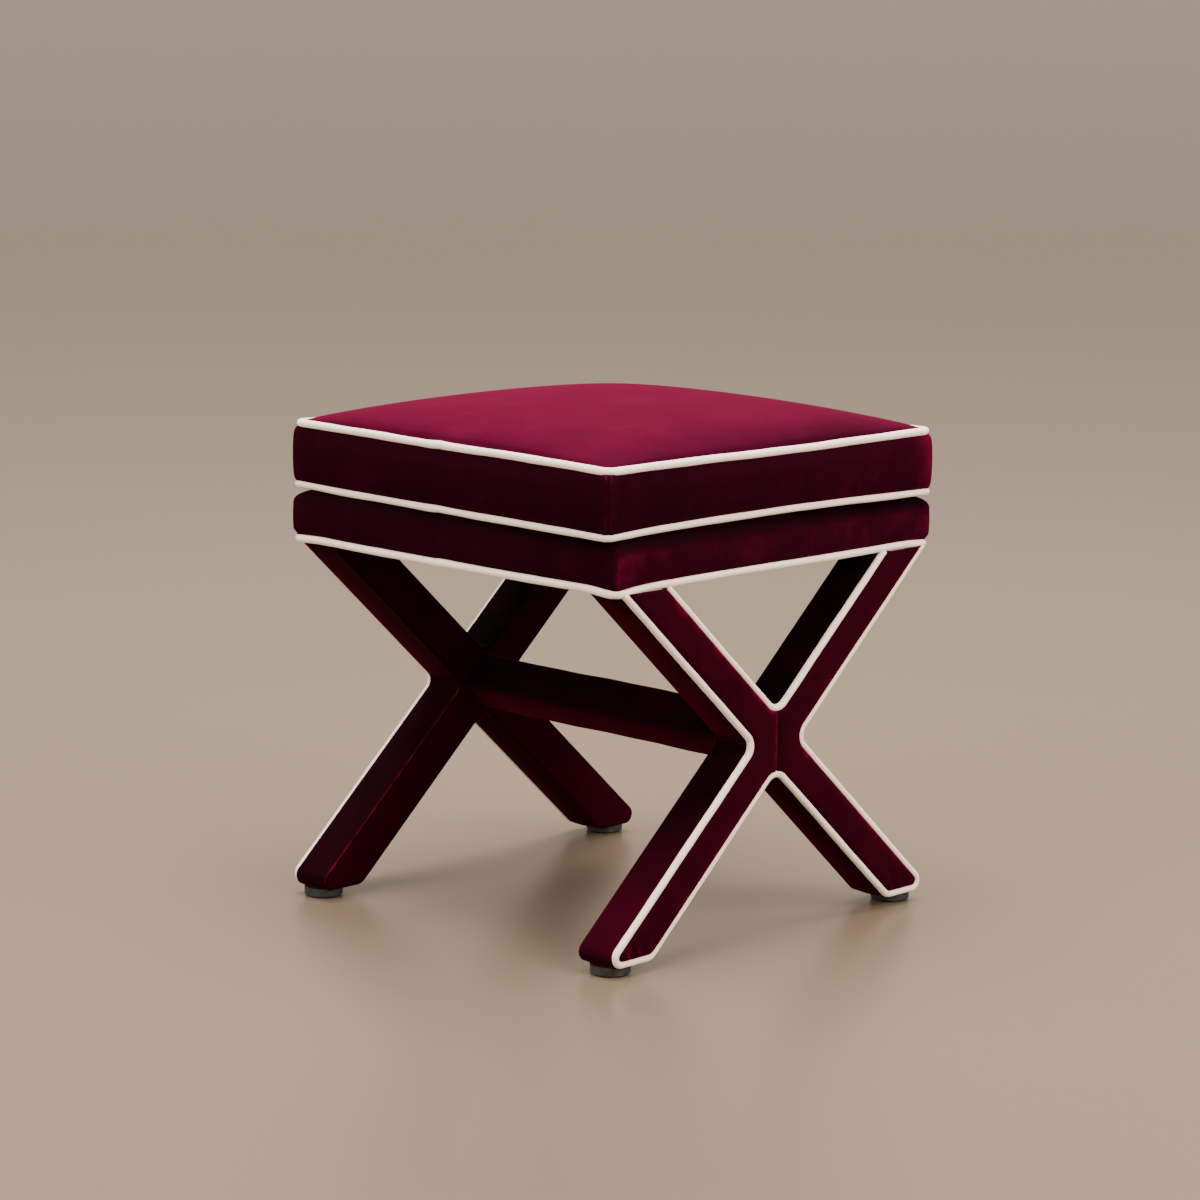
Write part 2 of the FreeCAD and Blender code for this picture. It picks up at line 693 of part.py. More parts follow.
deck_board = box("deck_board", (-RAIL_X, RAIL_X), (-RAIL_Y, RAIL_Y), (DECK_LOW, DECK_TOP))
seat_deck = cut("seat_deck", deck_board, deck_screws)

COVER_RADIUS = corner("base_corner_radius", dim(0))
LINING_RADIUS = COVER_RADIUS - S["velvet"]
cover_outer = block("cover_outer", dim(0), (BASE_SKIRT, BASE_TOP), COVER_RADIUS, COVER_RADIUS - 1)
cover_lining = block(
    "cover_lining", S["velvet"], (BASE_SKIRT, BASE_TOP - S["velvet"]), LINING_RADIUS, LINING_RADIUS - 1
)
rail_block = box("rail_block", (-RAIL_X, RAIL_X), (-RAIL_Y, RAIL_Y), (RAIL_LOW, DECK_TOP))
base_padding = cut("base_padding", cover_lining, rail_block)

HEM_X = RAIL_X - S["hem_width"]
HEM_Y = RAIL_Y - S["hem_width"]
hem_levels = (S["base_underside"], RAIL_LOW)
hem_sheet = block("hem_sheet", CORE_INSET, hem_levels, S["base_corner_radius"])
hem_opening = box("hem_opening", (-HEM_X, HEM_X), (-HEM_Y, HEM_Y), hem_levels)
hem = cut("hem", hem_sheet, hem_opening, leg_coach_screws)
base_cover = group("base_cover", cut("base_cover_shell", cover_outer, cover_lining), hem)
dust_cover = cut("dust_cover", hem_opening, leg_coach_screws)

BASE_WELT_Z = S["base_underside"] + WELT_RADIUS
base_path = block(
    "base_path", WELT_INSET, (BASE_WELT_Z, BASE_WELT_Z + 10), corner("base_corner_radius", WELT_INSET)
)
base_welt = welt(
    "base_welt", base_path, edge_names(base_path.Shape, lies_at(2, BASE_WELT_Z)),
    (dim(0), WELT_INSET - HALF_Y, BASE_WELT_Z), (1, 0, 0),
)

# Loose cushion. Its crown is the skilled form: sections of three tangent arcs, lofted from side to side.

RIM_ANGLE = math.radians(35)
SHOULDER_ANGLE = math.radians(5)


def arch(half, height, scale):
    """Radii of the rim arcs and the middle arc of a three-arc arch, with angles scaled to its height."""
    rim, shoulder = RIM_ANGLE * scale, SHOULDER_ANGLE * scale
    a, b = math.sin(rim) - math.sin(shoulder), math.sin(shoulder)
    c, d = math.cos(shoulder) - math.cos(rim), 1 - math.cos(shoulder)
    middle_radius = (a * height - c * half) / (a * d - c * b)
    return (half - b * middle_radius) / a, middle_radius


def arch_height(half, height, across):
    """Height of the full arch at a distance from its middle."""
    rim_radius, middle_radius = arch(half, height, 1)
    across = abs(across)
    if across <= middle_radius * math.sin(SHOULDER_ANGLE):
        return height - middle_radius + math.sqrt(middle_radius ** 2 - across ** 2)
    middle = half - rim_radius * math.sin(RIM_ANGLE)
    return math.sqrt(rim_radius ** 2 - (across - middle) ** 2) - rim_radius * math.cos(RIM_ANGLE)


def arch_section(half, height, full_height, y, low, seam):
    """Closed wire in a plane of Y: flat below, upright sides, and the three arcs on top."""
    scale = height / full_height
    rim, shoulder = RIM_ANGLE * scale, SHOULDER_ANGLE * scale
    rim_radius, middle_radius = arch(half, height, scale)
    middle = Vector(half - rim_radius * math.sin(rim), y, seam - rim_radius * math.cos(rim))
    between = (rim + shoulder) / 2
    arc_mid = middle + Vector(math.sin(between), 0, math.cos(between)) * rim_radius
    join = middle + Vector(math.sin(shoulder), 0, math.cos(shoulder)) * rim_radius
    rim_end = Vector(half, y, seam)

    def flip(point):
        return Vector(-point.x, point.y, point.z)

    low_right = Vector(half, y, low)
    return Part.Wire([
        Part.makeLine(flip(low_right), low_right),
        Part.makeLine(low_right, rim_end),
        Part.Arc(rim_end, arc_mid, join).toShape(),
        Part.Arc(join, Vector(0, y, seam + height), flip(join)).toShape(),
        Part.Arc(flip(join), flip(arc_mid), flip(rim_end)).toShape(),
        Part.makeLine(flip(rim_end), flip(low_right)),
    ])


CROWN_STATIONS = (-1, -0.96, -0.85, -0.65, -0.35, 0, 0.35, 0.65, 0.85, 0.96, 1)
RIM_HEIGHT = 1


def crown(name, drop):
    """Crowned block under the seam's outline, its top lowered by a drop."""
    half_x, half_y = (HALF_X - CORE_INSET).value, (HALF_Y - CORE_INSET).value
    full = S["cushion_crown"].value
    sections = [
        arch_section(
            half_x, max(arch_height(half_y, full, station * half_y), RIM_HEIGHT), full,
            station * half_y, FILL_LOW.value, SEAM_Z.value,
        )
        for station in CROWN_STATIONS
    ]
    feature = doc.addObject("Part::Feature", name)
    feature.Shape = Part.makeLoft(sections, True, False)
    feature.Placement = Placement(Vector(0, 0, -drop), Rotation())
    return feature


DRAW_IN = S["cushion_draw_in"]
crown_outer = crown("crown_outer", 0)
crown_lining = crown("crown_lining", S["velvet"].value)
fill_room = block(
    "fill_room", CORE_INSET, (FILL_LOW, SEAM_Z + S["cushion_crown"] * 2),
    S["cushion_corner_radius"], draw_in=DRAW_IN,
)
cushion_foam = block(
    "cushion_foam", FOAM_INSET, (FILL_LOW, BOXING_TOP - S["cushion_wadding"]),
    S["cushion_corner_radius"], draw_in=DRAW_IN,
)
BOXING_RADIUS = corner("cushion_corner_radius", dim(0))
boxing_levels = (BOXING_LOW, BOXING_TOP)
boxing_outer = block("boxing_outer", dim(0), boxing_levels, BOXING_RADIUS, draw_in=DRAW_IN)
boxing_lining = block(
    "boxing_lining", S["velvet"], boxing_levels, BOXING_RADIUS - S["velvet"], draw_in=DRAW_IN
)
cushion_boxing = cut("cushion_boxing", boxing_outer, boxing_lining)
cushion_top_panel = common("cushion_top_panel", cut("crown_shell", crown_outer, crown_lining), fill_room)
fill_crown = common("fill_crown", crown_lining, fill_room)
cushion_wadding = cut("cushion_wadding", fuse("fill_blank", fill_crown, boxing_lining), cushion_foam)
cushion_bottom_panel = block(
    "cushion_bottom_panel", CORE_INSET, (CUSHION_LOW, FILL_LOW), S["cushion_corner_radius"], draw_in=DRAW_IN
)

cushion_path = block(
    "cushion_path", WELT_INSET, (CUSHION_LOW + WELT_RADIUS, SEAM_Z),
    corner("cushion_corner_radius", WELT_INSET), draw_in=DRAW_IN,
)
cushion_welts = [
    welt(
        name, cushion_path, edge_names(cushion_path.Shape, lies_at(2, level)),
        (dim(0), WELT_INSET + DRAW_IN - HALF_Y, level), (1, 0, 0),
    )
    for name, level in (("cushion_bottom_welt", CUSHION_LOW + WELT_RADIUS), ("cushion_top_welt", SEAM_Z))
]

doc.recompute()

NODES = [
    *glides, glide_screws,
    *right_frame, *left_frame,
    bar_core, bar_padding, bar_sleeve, bar_bolts, bar_nuts,
    front_rail, back_rail, left_rail, right_rail, corner_blocks, rail_screws, leg_coach_screws,
    seat_deck, deck_screws, base_padding, base_cover, base_welt, dust_cover,
    cushion_foam, cushion_wadding, cushion_boxing, cushion_top_panel, cushion_bottom_panel, *cushion_welts,
]

for item in doc.Objects:
    if "Invalid" in item.State or "Error" in item.State:
        raise RuntimeError(f"{item.Name} did not build: {item.State}")
for node in NODES:
    node.Label = node.Name
    if node.Shape.isNull() or not node.Shape.isValid() or not node.Shape.Solids:
        raise RuntimeError(f"{node.Name} has no valid solid")

os.makedirs("parts", exist_ok=True)
for node in NODES:
    node.Shape.exportStep(f"parts/{node.Label}.step")
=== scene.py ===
"""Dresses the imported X-frame stool: velvet, piping, padding and the studio that it is seen in.

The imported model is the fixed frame. Each soft node of it is replaced by a fuller form that is worked out
here, while wood, screws and glides stay and get their finish. Shapes are worked out in millimetres, in the
frame's own axes, and turned to metres when they are put into a mesh. Left is -X, right is +X, front is -Y
and back is +Y.
"""

import logging
import math
from dataclasses import dataclass
from enum import Enum
from typing import Iterator, NamedTuple, Sequence

import bmesh
import bpy
import numpy as np
from mathutils import Matrix, Vector


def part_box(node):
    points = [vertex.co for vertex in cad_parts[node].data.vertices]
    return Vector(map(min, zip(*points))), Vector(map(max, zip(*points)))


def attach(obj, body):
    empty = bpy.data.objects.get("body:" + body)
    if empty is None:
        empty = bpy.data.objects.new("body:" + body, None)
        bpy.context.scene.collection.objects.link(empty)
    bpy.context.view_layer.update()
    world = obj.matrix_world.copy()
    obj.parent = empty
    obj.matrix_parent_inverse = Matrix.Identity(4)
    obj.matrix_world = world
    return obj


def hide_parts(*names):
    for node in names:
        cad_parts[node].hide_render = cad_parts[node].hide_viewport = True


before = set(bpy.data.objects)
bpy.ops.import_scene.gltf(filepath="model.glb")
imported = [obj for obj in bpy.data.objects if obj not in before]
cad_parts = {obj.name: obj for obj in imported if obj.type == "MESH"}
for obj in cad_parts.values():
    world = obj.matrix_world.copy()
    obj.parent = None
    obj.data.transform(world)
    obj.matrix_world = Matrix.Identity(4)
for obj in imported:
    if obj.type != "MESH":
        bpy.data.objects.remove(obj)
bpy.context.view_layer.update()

log = logging.getLogger("stool")
# A millimetre in metres.
MM = 0.001
# Distance within which points are joined, in millimetres.
WELD_MM = 0.02
# Length that counts as no move at all, in millimetres.
NO_MOVE_MM = 1e-6
# Faces round a cord.
CORD_FACETS = 20
# Number by which a wave texture multiplies its coordinates.
WAVE_FACTOR = 20
# Directions that open pieces face.
UP = (0, 0, 1)
DOWN = (0, 0, -1)
# Sine waves, each given by its height, its length or its number round a loop, and its start in radians.
Waves = tuple[tuple[float, float, float], ...]


class Body(str, Enum):
    """Bodies of the frame that pieces ride on."""

    FRAME = "frame"
    CUSHION = "cushion"


class Side(Enum):
    """End of the stool that an X frame stands at, with the sign of X there."""

    LEFT = -1
    RIGHT = 1


class Slot(str, Enum):
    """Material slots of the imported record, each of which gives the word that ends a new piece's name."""

    VELVET = "velvet"
    WELT = "welt"
    FOAM = "foam"
    WADDING = "wadding"
    CAMBRIC = "cambric"


# Word that a new piece's name ends with, after the node that it stands for.
PIECE_WORDS = {
    Slot.VELVET: "velvet",
    Slot.WELT: "cord",
    Slot.FOAM: "filling",
    Slot.WADDING: "coat",
    Slot.CAMBRIC: "cloth",
}


def low_corner(node: str) -> np.ndarray:
    """Lowest corner of a node of the frame, in millimetres."""
    return np.array(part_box(node)[0]) / MM


def high_corner(node: str) -> np.ndarray:
    """Highest corner of a node of the frame, in millimetres."""
    return np.array(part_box(node)[1]) / MM


# Curves and grids.


def straight(start: Sequence[float], end: Sequence[float], count: int) -> np.ndarray:
    """Even points on a straight line, without its end.

    Args:
        start: First point.
        end: Point that the line stops before.
        count: Number of points.

    Returns:
        Array of count points.
    """
    share = np.linspace(0, 1, count, endpoint=False)[:, None]
    return (1 - share) * np.asarray(start, float) + share * np.asarray(end, float)


def arc(centre: Sequence[float], radius: float, turn: tuple[float, float], count: int) -> np.ndarray:
    """Even points on an arc: centre plus radius times (cos a, sin a), as a goes through the turn.

    Args:
        centre: Middle of the circle.
        radius: Radius of the circle.
        turn: First and last angle, in radians.
        count: Number of points, with both ends.

    Returns:
        Array of count points.
    """
    angle = np.linspace(*turn, count)
    return np.asarray(centre, float) + radius * np.stack([np.cos(angle), np.sin(angle)], axis=-1)


def lengths_along(path: np.ndarray) -> np.ndarray:
    """Distance of each point of a path from its start, along the path's first axis."""
    steps = np.linalg.norm(np.diff(path, axis=0), axis=-1)
    return np.concatenate([np.zeros_like(steps[:1]), np.cumsum(steps, axis=0)])


def resampled(path: np.ndarray, shares: np.ndarray) -> np.ndarray:
    """Points of a path at given shares of its length, each coordinate read off against the length.

    Args:
        path: Points of the path.
        shares: Shares of its length, from 0 to 1.

    Returns:
        A point for each share.
    """
    length = lengths_along(path)
    spots = shares * length[-1]
    return np.stack([np.interp(spots, length, path[:, way]) for way in range(path.shape[1])], axis=-1)


def dense_ends(count: int, strength: float) -> np.ndarray:
    """Shares from 0 to 1 that lie closer together at both ends: t - strength sin(2 pi t) / (2 pi)."""
    even = np.linspace(0, 1, count)
    return even - strength * np.sin(2 * math.pi * even) / (2 * math.pi)


def smooth_step(value: np.ndarray) -> np.ndarray:
    """Rise from 0 to 1 with flat ends: 3t^2 - 2t^3, with t kept between 0 and 1."""
    share = np.clip(value, 0, 1)
    return share * share * (3 - 2 * share)


def hump(distance: np.ndarray, width: float) -> np.ndarray:
    """Bell that is 1 at no distance and fades over a width: exp(-(d / w)^2)."""
    return np.exp(-np.square(distance / width))


def waver(along: np.ndarray, waves: Waves) -> np.ndarray:
    """Hand-made unevenness along a path: the sum of height sin(2 pi s / length + start)."""
    return sum(height * np.sin(2 * math.pi * along / length + start) for height, length, start in waves)


def ripple(turn: np.ndarray, waves: Waves) -> np.ndarray:
    """Hand-made unevenness round a loop: the sum of height sin(number a + start), as a goes once round."""
    return sum(height * np.sin(number * turn + start) for height, number, start in waves)


class Patch(NamedTuple):
    """Grid of points, rows by columns, with surface coordinates along and across; all in millimetres.

    Each point also carries a painted highlight, which brightens its colour or, below 0, darkens it as
    painted shade, and a painted shading, which lightens it as painted light or, below 0, darkens it as
    painted shade.
    """

    points: np.ndarray
    uv: np.ndarray
    painted_highlight: np.ndarray
    nap_and_painted_shading: np.ndarray


def patch(points: np.ndarray, painted_highlight: np.ndarray | float = 0.0, nap_and_painted_shading: np.ndarray | float = 0.0) -> Patch:
    """Patch of a grid of points.

    Args:
        points: The grid.
        painted_highlight: Painted highlight of each point, or of all.
        nap_and_painted_shading: Painted shading of each point, or of all.

    Returns:
        The patch, its surface coordinates measured along its rows and columns.
    """
    along = lengths_along(points)
    across = np.swapaxes(lengths_along(np.swapaxes(points, 0, 1)), 0, 1)
    size = points.shape[:2]
    uv = np.stack([along, across], axis=-1)
    return Patch(points, uv, np.broadcast_to(painted_highlight, size), np.broadcast_to(nap_and_painted_shading, size))


def cord(path: np.ndarray, side: np.ndarray, lift: np.ndarray, radius: np.ndarray, closed: bool) -> Patch:
    """Round cord: a circle carried along a path, point = path + radius (cos a side + sin a lift).

    Args:
        path: Points of the middle line.
        side: Unit vectors across the path.
        lift: Unit vectors across the path and the side.
        radius: Radius at each point.
        closed: Whether the path comes back to its start; if not, both ends are drawn to a point.

    Returns:
        Patch whose surface coordinates are the length along the cord and around it.
    """
    if not closed:
        path, side, lift = (np.concatenate([rows[:1], rows, rows[-1:]]) for rows in (path, side, lift))
        radius = np.concatenate([[0], radius, [0]])
    angle = np.linspace(0, 2 * math.pi, CORD_FACETS + 1)
    ring = np.cos(angle)[None, :, None] * side[:, None] + np.sin(angle)[None, :, None] * lift[:, None]
    points = path[:, None] + radius[:, None, None] * ring
    around = np.broadcast_to(angle * radius.max(), points.shape[:2])
    along = np.broadcast_to(lengths_along(path)[:, None], points.shape[:2])
    plain = np.zeros(points.shape[:2])
    return Patch(points, np.stack([along, around], axis=-1), plain, plain)


def level_cord(middle: np.ndarray, normal: np.ndarray, radius: np.ndarray) -> Patch:
    """Closed round cord that lies level, with its circles upright.

    Args:
        middle: Points of the closed middle line.
        normal: Outward unit normals of the line, seen from above.
        radius: Radius at each point.

    Returns:
        The cord as one patch.
    """
    side = np.column_stack([normal, np.zeros(len(middle))])
    lift = np.broadcast_to([0.0, 0.0, 1.0], middle.shape)
    return cord(middle, side, lift, radius, closed=True)


def lap_join(
    loop: np.ndarray, place: float, width: float = 13.0, swell: float = 0.45, step: float = 0.7,
    step_width: float = 5.0,
) -> tuple[np.ndarray, np.ndarray]:
    """Join on the front side of a piping, where its two ends cross: a bell of swell over a slanting step.

    At a distance d from the join the bell is exp(-(d / width)^2), and the step is the bell times
    tanh(d / step_width).

    Args:
        loop: Points of the piping's middle line in X and Y.
        place: X of the join.
        width: Width of the bell.
        swell: How much thicker the piping is at the join.
        step: Height of the step on each side of the join.
        step_width: Width over which it rises.

    Returns:
        How far each point is thicker, and how far it is higher.
    """
    along = loop[:, 0] - place
    near = hump(along, width) * (loop[:, 1] < 0)
    return swell * near, step * near * np.tanh(along / step_width)


def loop_normals(loop: np.ndarray) -> np.ndarray:
    """Outward unit normals of a closed plane loop, square to the line between each point's neighbours.

    Args:
        loop: Points of the loop, anticlockwise, with the first one repeated at the end.

    Returns:
        A normal for each point.
    """
    ring = loop[:-1]
    tangent = np.roll(ring, -1, axis=0) - np.roll(ring, 1, axis=0)
    normal = np.stack([tangent[:, 1], -tangent[:, 0]], axis=-1)
    normal /= np.linalg.norm(normal, axis=-1, keepdims=True)
    return np.concatenate([normal, normal[:1]])


def path_normals(path: np.ndarray) -> np.ndarray:
    """Unit normals on the left of an open plane path, square to the line between each point's neighbours.

    Args:
        path: Points of the path.

    Returns:
        A normal for each point.
    """
    tangent = np.gradient(path, axis=0)
    normal = np.stack([-tangent[:, 1], tangent[:, 0]], axis=-1)
    return normal / np.linalg.norm(normal, axis=-1, keepdims=True)


@dataclass(frozen=True)
class SquareLoop:
    """Rounded square, seen from above, whose four sides run from corner middle to corner middle."""

    half: float
    radius: float
    draw_in: float = 0.0
    per_side: int = 72
    density: float = 0.6
    corner_points: int = 12
    least_radius: float = 0.5

    def shares(self) -> np.ndarray:
        """Shares of a side's length at which it has points, closer together towards the corners."""
        return dense_ends(self.per_side + 1, self.density)

    def at(self, inset: float) -> np.ndarray:
        """Points of the loop at an inset from its outline.

        One side is an eighth of a circle, a straight line and another eighth. Away from the corners it is
        drawn in by draw_in (1 - (x / half)^2). The other sides are that side turned by quarter turns.

        Args:
            inset: Distance inwards from the outline.

        Returns:
            Closed loop of 4 per_side + 1 points in X and Y, anticlockwise from the left front corner.
        """
        half = self.half - inset
        radius = max(self.radius - inset, self.least_radius)
        eighth = math.pi / 4
        bend = half - radius
        left = arc((-bend, -bend), radius, (-3 * eighth, -2 * eighth), self.corner_points)
        right = arc((bend, -bend), radius, (-2 * eighth, -eighth), self.corner_points)
        side = resampled(np.vstack([left, right]), self.shares())
        side[:, 1] += self.draw_in * (1 - np.square(side[:, 0] / half))
        quarter = np.array([[0, 1], [-1, 0]])
        loop = np.vstack([side[:-1] @ np.linalg.matrix_power(quarter, number) for number in range(4)])
        return np.vstack([loop, loop[:1]])

    def corner_distance(self) -> np.ndarray:
        """How far the points of the loop lie from the nearest corner's middle, along the outline.

        Returns:
            A distance for each point.
        """
        share = self.shares()[:-1]
        length = 2 * (self.half - self.radius) + math.pi / 2 * self.radius
        near = np.tile(np.minimum(share, 1 - share) * length, 4)
        return np.concatenate([near, near[:1]])


def spanned(loop: np.ndarray) -> np.ndarray:
    """Plane grid spanned between the four sides of a square loop.

    Each point is the sum of the two straight blends between opposite sides, less the blend of the four
    corners.

    Args:
        loop: Closed square loop of X and Y whose sides have the same number of points.

    Returns:
        Grid of points with a row for each point of the front side.
    """
    count = (len(loop) - 1) // 4
    front, right = loop[:count + 1], loop[count:2 * count + 1]
    back, left = loop[2 * count:3 * count + 1][::-1], loop[3 * count:][::-1]
    share = np.linspace(0, 1, count + 1)
    u, v = share[:, None, None], share[None, :, None]
    corners = (1 - u) * ((1 - v) * front[0] + v * back[0]) + u * ((1 - v) * front[-1] + v * back[-1])
    return (1 - v) * front[:, None] + v * back[:, None] + (1 - u) * left[None] + u * right[None] - corners


# Putting shapes into the scene.


def grid_quads(rows: int, columns: int, start: int) -> np.ndarray:
    """Corner numbers of the quads of a grid.

    Args:
        rows: Number of its rows.
        columns: Number of its columns.
        start: Number of its first point.

    Returns:
        Four numbers for each quad.
    """
    number = start + np.arange(rows * columns).reshape(rows, columns)
    corners = [number[:-1, :-1], number[1:, :-1], number[1:, 1:], number[:-1, 1:]]
    return np.stack(corners, axis=-1).reshape(-1, 4)


def joined_quads(patches: Sequence[Patch]) -> np.ndarray:
    """Corner numbers of the quads of several patches whose points are put one after another.

    Args:
        patches: The patches in that order.

    Returns:
        Four numbers for each quad.
    """
    sizes = [item.points.shape[:2] for item in patches]
    starts = np.cumsum([0] + [rows * columns for rows, columns in sizes])
    return np.vstack([grid_quads(*size, start) for size, start in zip(sizes, starts)])


def fill_mesh(mesh: bpy.types.Mesh, points: np.ndarray, quads: np.ndarray) -> None:
    """Puts points and smooth quads into an empty mesh.

    Args:
        mesh: The mesh.
        points: Its points, in millimetres.
        quads: Four corner numbers for each quad.
    """
    mesh.vertices.add(len(points))
    mesh.vertices.foreach_set("co", (points * MM).astype(np.float32).ravel())
    mesh.loops.add(quads.size)
    mesh.loops.foreach_set("vertex_index", quads.astype(np.int32).ravel())
    mesh.polygons.add(len(quads))
    mesh.polygons.foreach_set("loop_start", np.arange(0, quads.size, 4, dtype=np.int32))
    mesh.polygons.foreach_set("use_smooth", np.ones(len(quads), bool))
    mesh.update(calc_edges=True)


def turned_to(shape: bmesh.types.BMesh, way: Vector) -> Iterator[float]:
    """How far each face looks in a direction, times its area."""
    return (face.normal.dot(way) * face.calc_area() for face in shape.faces)


def turned_out(shape: bmesh.types.BMesh) -> Iterator[float]:
    """How far each face looks away from the shape's middle, times its area and its distance."""
    middle = sum((vert.co for vert in shape.verts), Vector()) / len(shape.verts)
    return (face.normal.dot(face.calc_center_median() - middle) * face.calc_area() for face in shape.faces)


def make_shape(
    name: str, patches: Sequence[Patch], outward: Sequence[float] | None = None,
) -> bpy.types.Object:
    """Mesh object of several patches, with the points that they share joined and its faces pointing outwards.

    Args:
        name: Name of the object.
        patches: Grids that it is made of.
        outward: Direction that an open shape faces on the whole, or None if it faces away from its middle.

    Returns:
        The new object, at the origin.
    """
    points = np.vstack([item.points.reshape(-1, 3) for item in patches])
    surface = np.vstack([item.uv.reshape(-1, 2) for item in patches]) * MM
    quads = joined_quads(patches)
    mesh = bpy.data.meshes.new(name)
    fill_mesh(mesh, points, quads)
    corners = surface[quads.ravel()].astype(np.float32)
    mesh.uv_layers.new(name="surface").data.foreach_set("uv", corners.ravel())
    # Painted highlight and painted shading of each point, as point attributes.
    for layer in ("painted_highlight", "nap_and_painted_shading"):
        values = np.concatenate([getattr(item, layer).ravel() for item in patches]).astype(np.float32)
        mesh.attributes.new(layer, "FLOAT", "POINT").data.foreach_set("value", values)
    shape = bmesh.new()
    shape.from_mesh(mesh)
    bmesh.ops.remove_doubles(shape, verts=shape.verts, dist=WELD_MM * MM)
    bmesh.ops.recalc_face_normals(shape, faces=shape.faces)
    facing = sum(turned_out(shape) if outward is None else turned_to(shape, Vector(outward)))
    if facing < 0:
        bmesh.ops.reverse_faces(shape, faces=shape.faces)
    shape.to_mesh(mesh)
    shape.free()
    piece = bpy.data.objects.new(name, mesh)
    bpy.context.scene.collection.objects.link(piece)
    return piece


def thicken(piece: bpy.types.Object, thickness: float) -> None:
    """Gives an open piece a wall on its inner side.

    Args:
        piece: The piece.
        thickness: Thickness of the wall, in millimetres.
    """
    wall = piece.modifiers.new("wall", "SOLIDIFY")
    wall.thickness = thickness * MM
    wall.offset = -1


def refine(piece: bpy.types.Object) -> None:
    """Rounds a piece with one level of subdivision."""
    rounding = piece.modifiers.new("rounding", "SUBSURF")
    rounding.levels = rounding.render_levels = 1


def dressed(
    node: str, patches: Sequence[Patch], body: Body, slot: Slot, finish: "Finish",
    outward: Sequence[float] | None = None,
) -> bpy.types.Object:
    """New piece that stands for a node of the frame, finished and riding on a body.

    Args:
        node: Node that it stands for, whose name begins its own.
        patches: Grids that it is made of.
        body: Body that it moves with.
        slot: Material slot of the record, whose word ends the piece's name.
        finish: Finish that gives its material.
        outward: Direction that an open piece faces on the whole, or None if it faces away from its middle.

    Returns:
        The new piece.
    """
    piece = make_shape(f"{node}_{PIECE_WORDS[slot]}", patches, outward)
    piece.data.materials.append(finish.material())
    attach(piece, body.value)
    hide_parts(node)
    log.info("%s: %d points on %s", piece.name, len(piece.data.vertices), body.value)
    return piece


# Finishes.


def linear(colour: str) -> tuple[float, float, float, float]:
    """Linear colour of an sRGB hex value such as "#7a1533"."""
    shares = [int(colour[start:start + 2], 16) / 255 for start in (1, 3, 5)]
    return (*(c / 12.92 if c <= 0.04045 else ((c + 0.055) / 1.055) ** 2.4 for c in shares), 1.0)


def noise_scale(size: float) -> float:
    """Scale at which a noise has features of a size in millimetres, on coordinates in metres."""
    return 1 / (size * MM)


def wave_scale(period: float) -> float:
    """Scale at which a wave texture repeats after a period in millimetres, on coordinates in metres."""
    return 2 * math.pi / (WAVE_FACTOR * period * MM)


def add_node(
    tree: bpy.types.NodeTree, kind: str, inputs: dict | None = None, options: dict | None = None,
    steps: Sequence[tuple[float, str]] = (),
) -> bpy.types.Node:
    """Adds a node, sets its options and colour steps, and sets or links its inputs.

    Args:
        tree: Node tree of a material or world.
        kind: Type name of the node.
        inputs: Values or output sockets by the name or number of the input that takes them.
        options: Settings of the node by name.
        steps: Positions and sRGB colours that a colour ramp goes through, two at least.

    Returns:
        The new node.
    """
    node = tree.nodes.new(kind)
    for name, value in (options or {}).items():
        setattr(node, name, value)
    for name, value in (inputs or {}).items():
        if isinstance(value, bpy.types.NodeSocket):
            tree.links.new(value, node.inputs[name])
        else:
            node.inputs[name].default_value = value
    if steps:
        elements = node.color_ramp.elements
        elements[0].position = steps[0][0]
        elements[1].position = steps[-1][0]
        for position, _ in steps[1:-1]:
            elements.new(position)
        for element, (_, colour) in zip(elements, steps):
            element.color = linear(colour)
    return node


@dataclass(frozen=True)
class Finish:
    """A real material; each kind draws its own nodes into an empty tree and gives its surface shader."""

    name: str

    def material(self) -> bpy.types.Material:
        """The finish as a material, made once.

        Returns:
            The material, new or made before.
        """
        made = bpy.data.materials.get(self.name)
        if made is None:
            made = bpy.data.materials.new(self.name)
            made.use_nodes = True
            tree = made.node_tree
            tree.nodes.clear()
            surface = self.surface(tree)
            add_node(tree, "ShaderNodeOutputMaterial", {"Surface": surface.outputs["BSDF"]})
        return made

    def surface(self, tree: bpy.types.NodeTree) -> bpy.types.Node:
        """Shader of the finish, drawn into the tree."""
        raise NotImplementedError


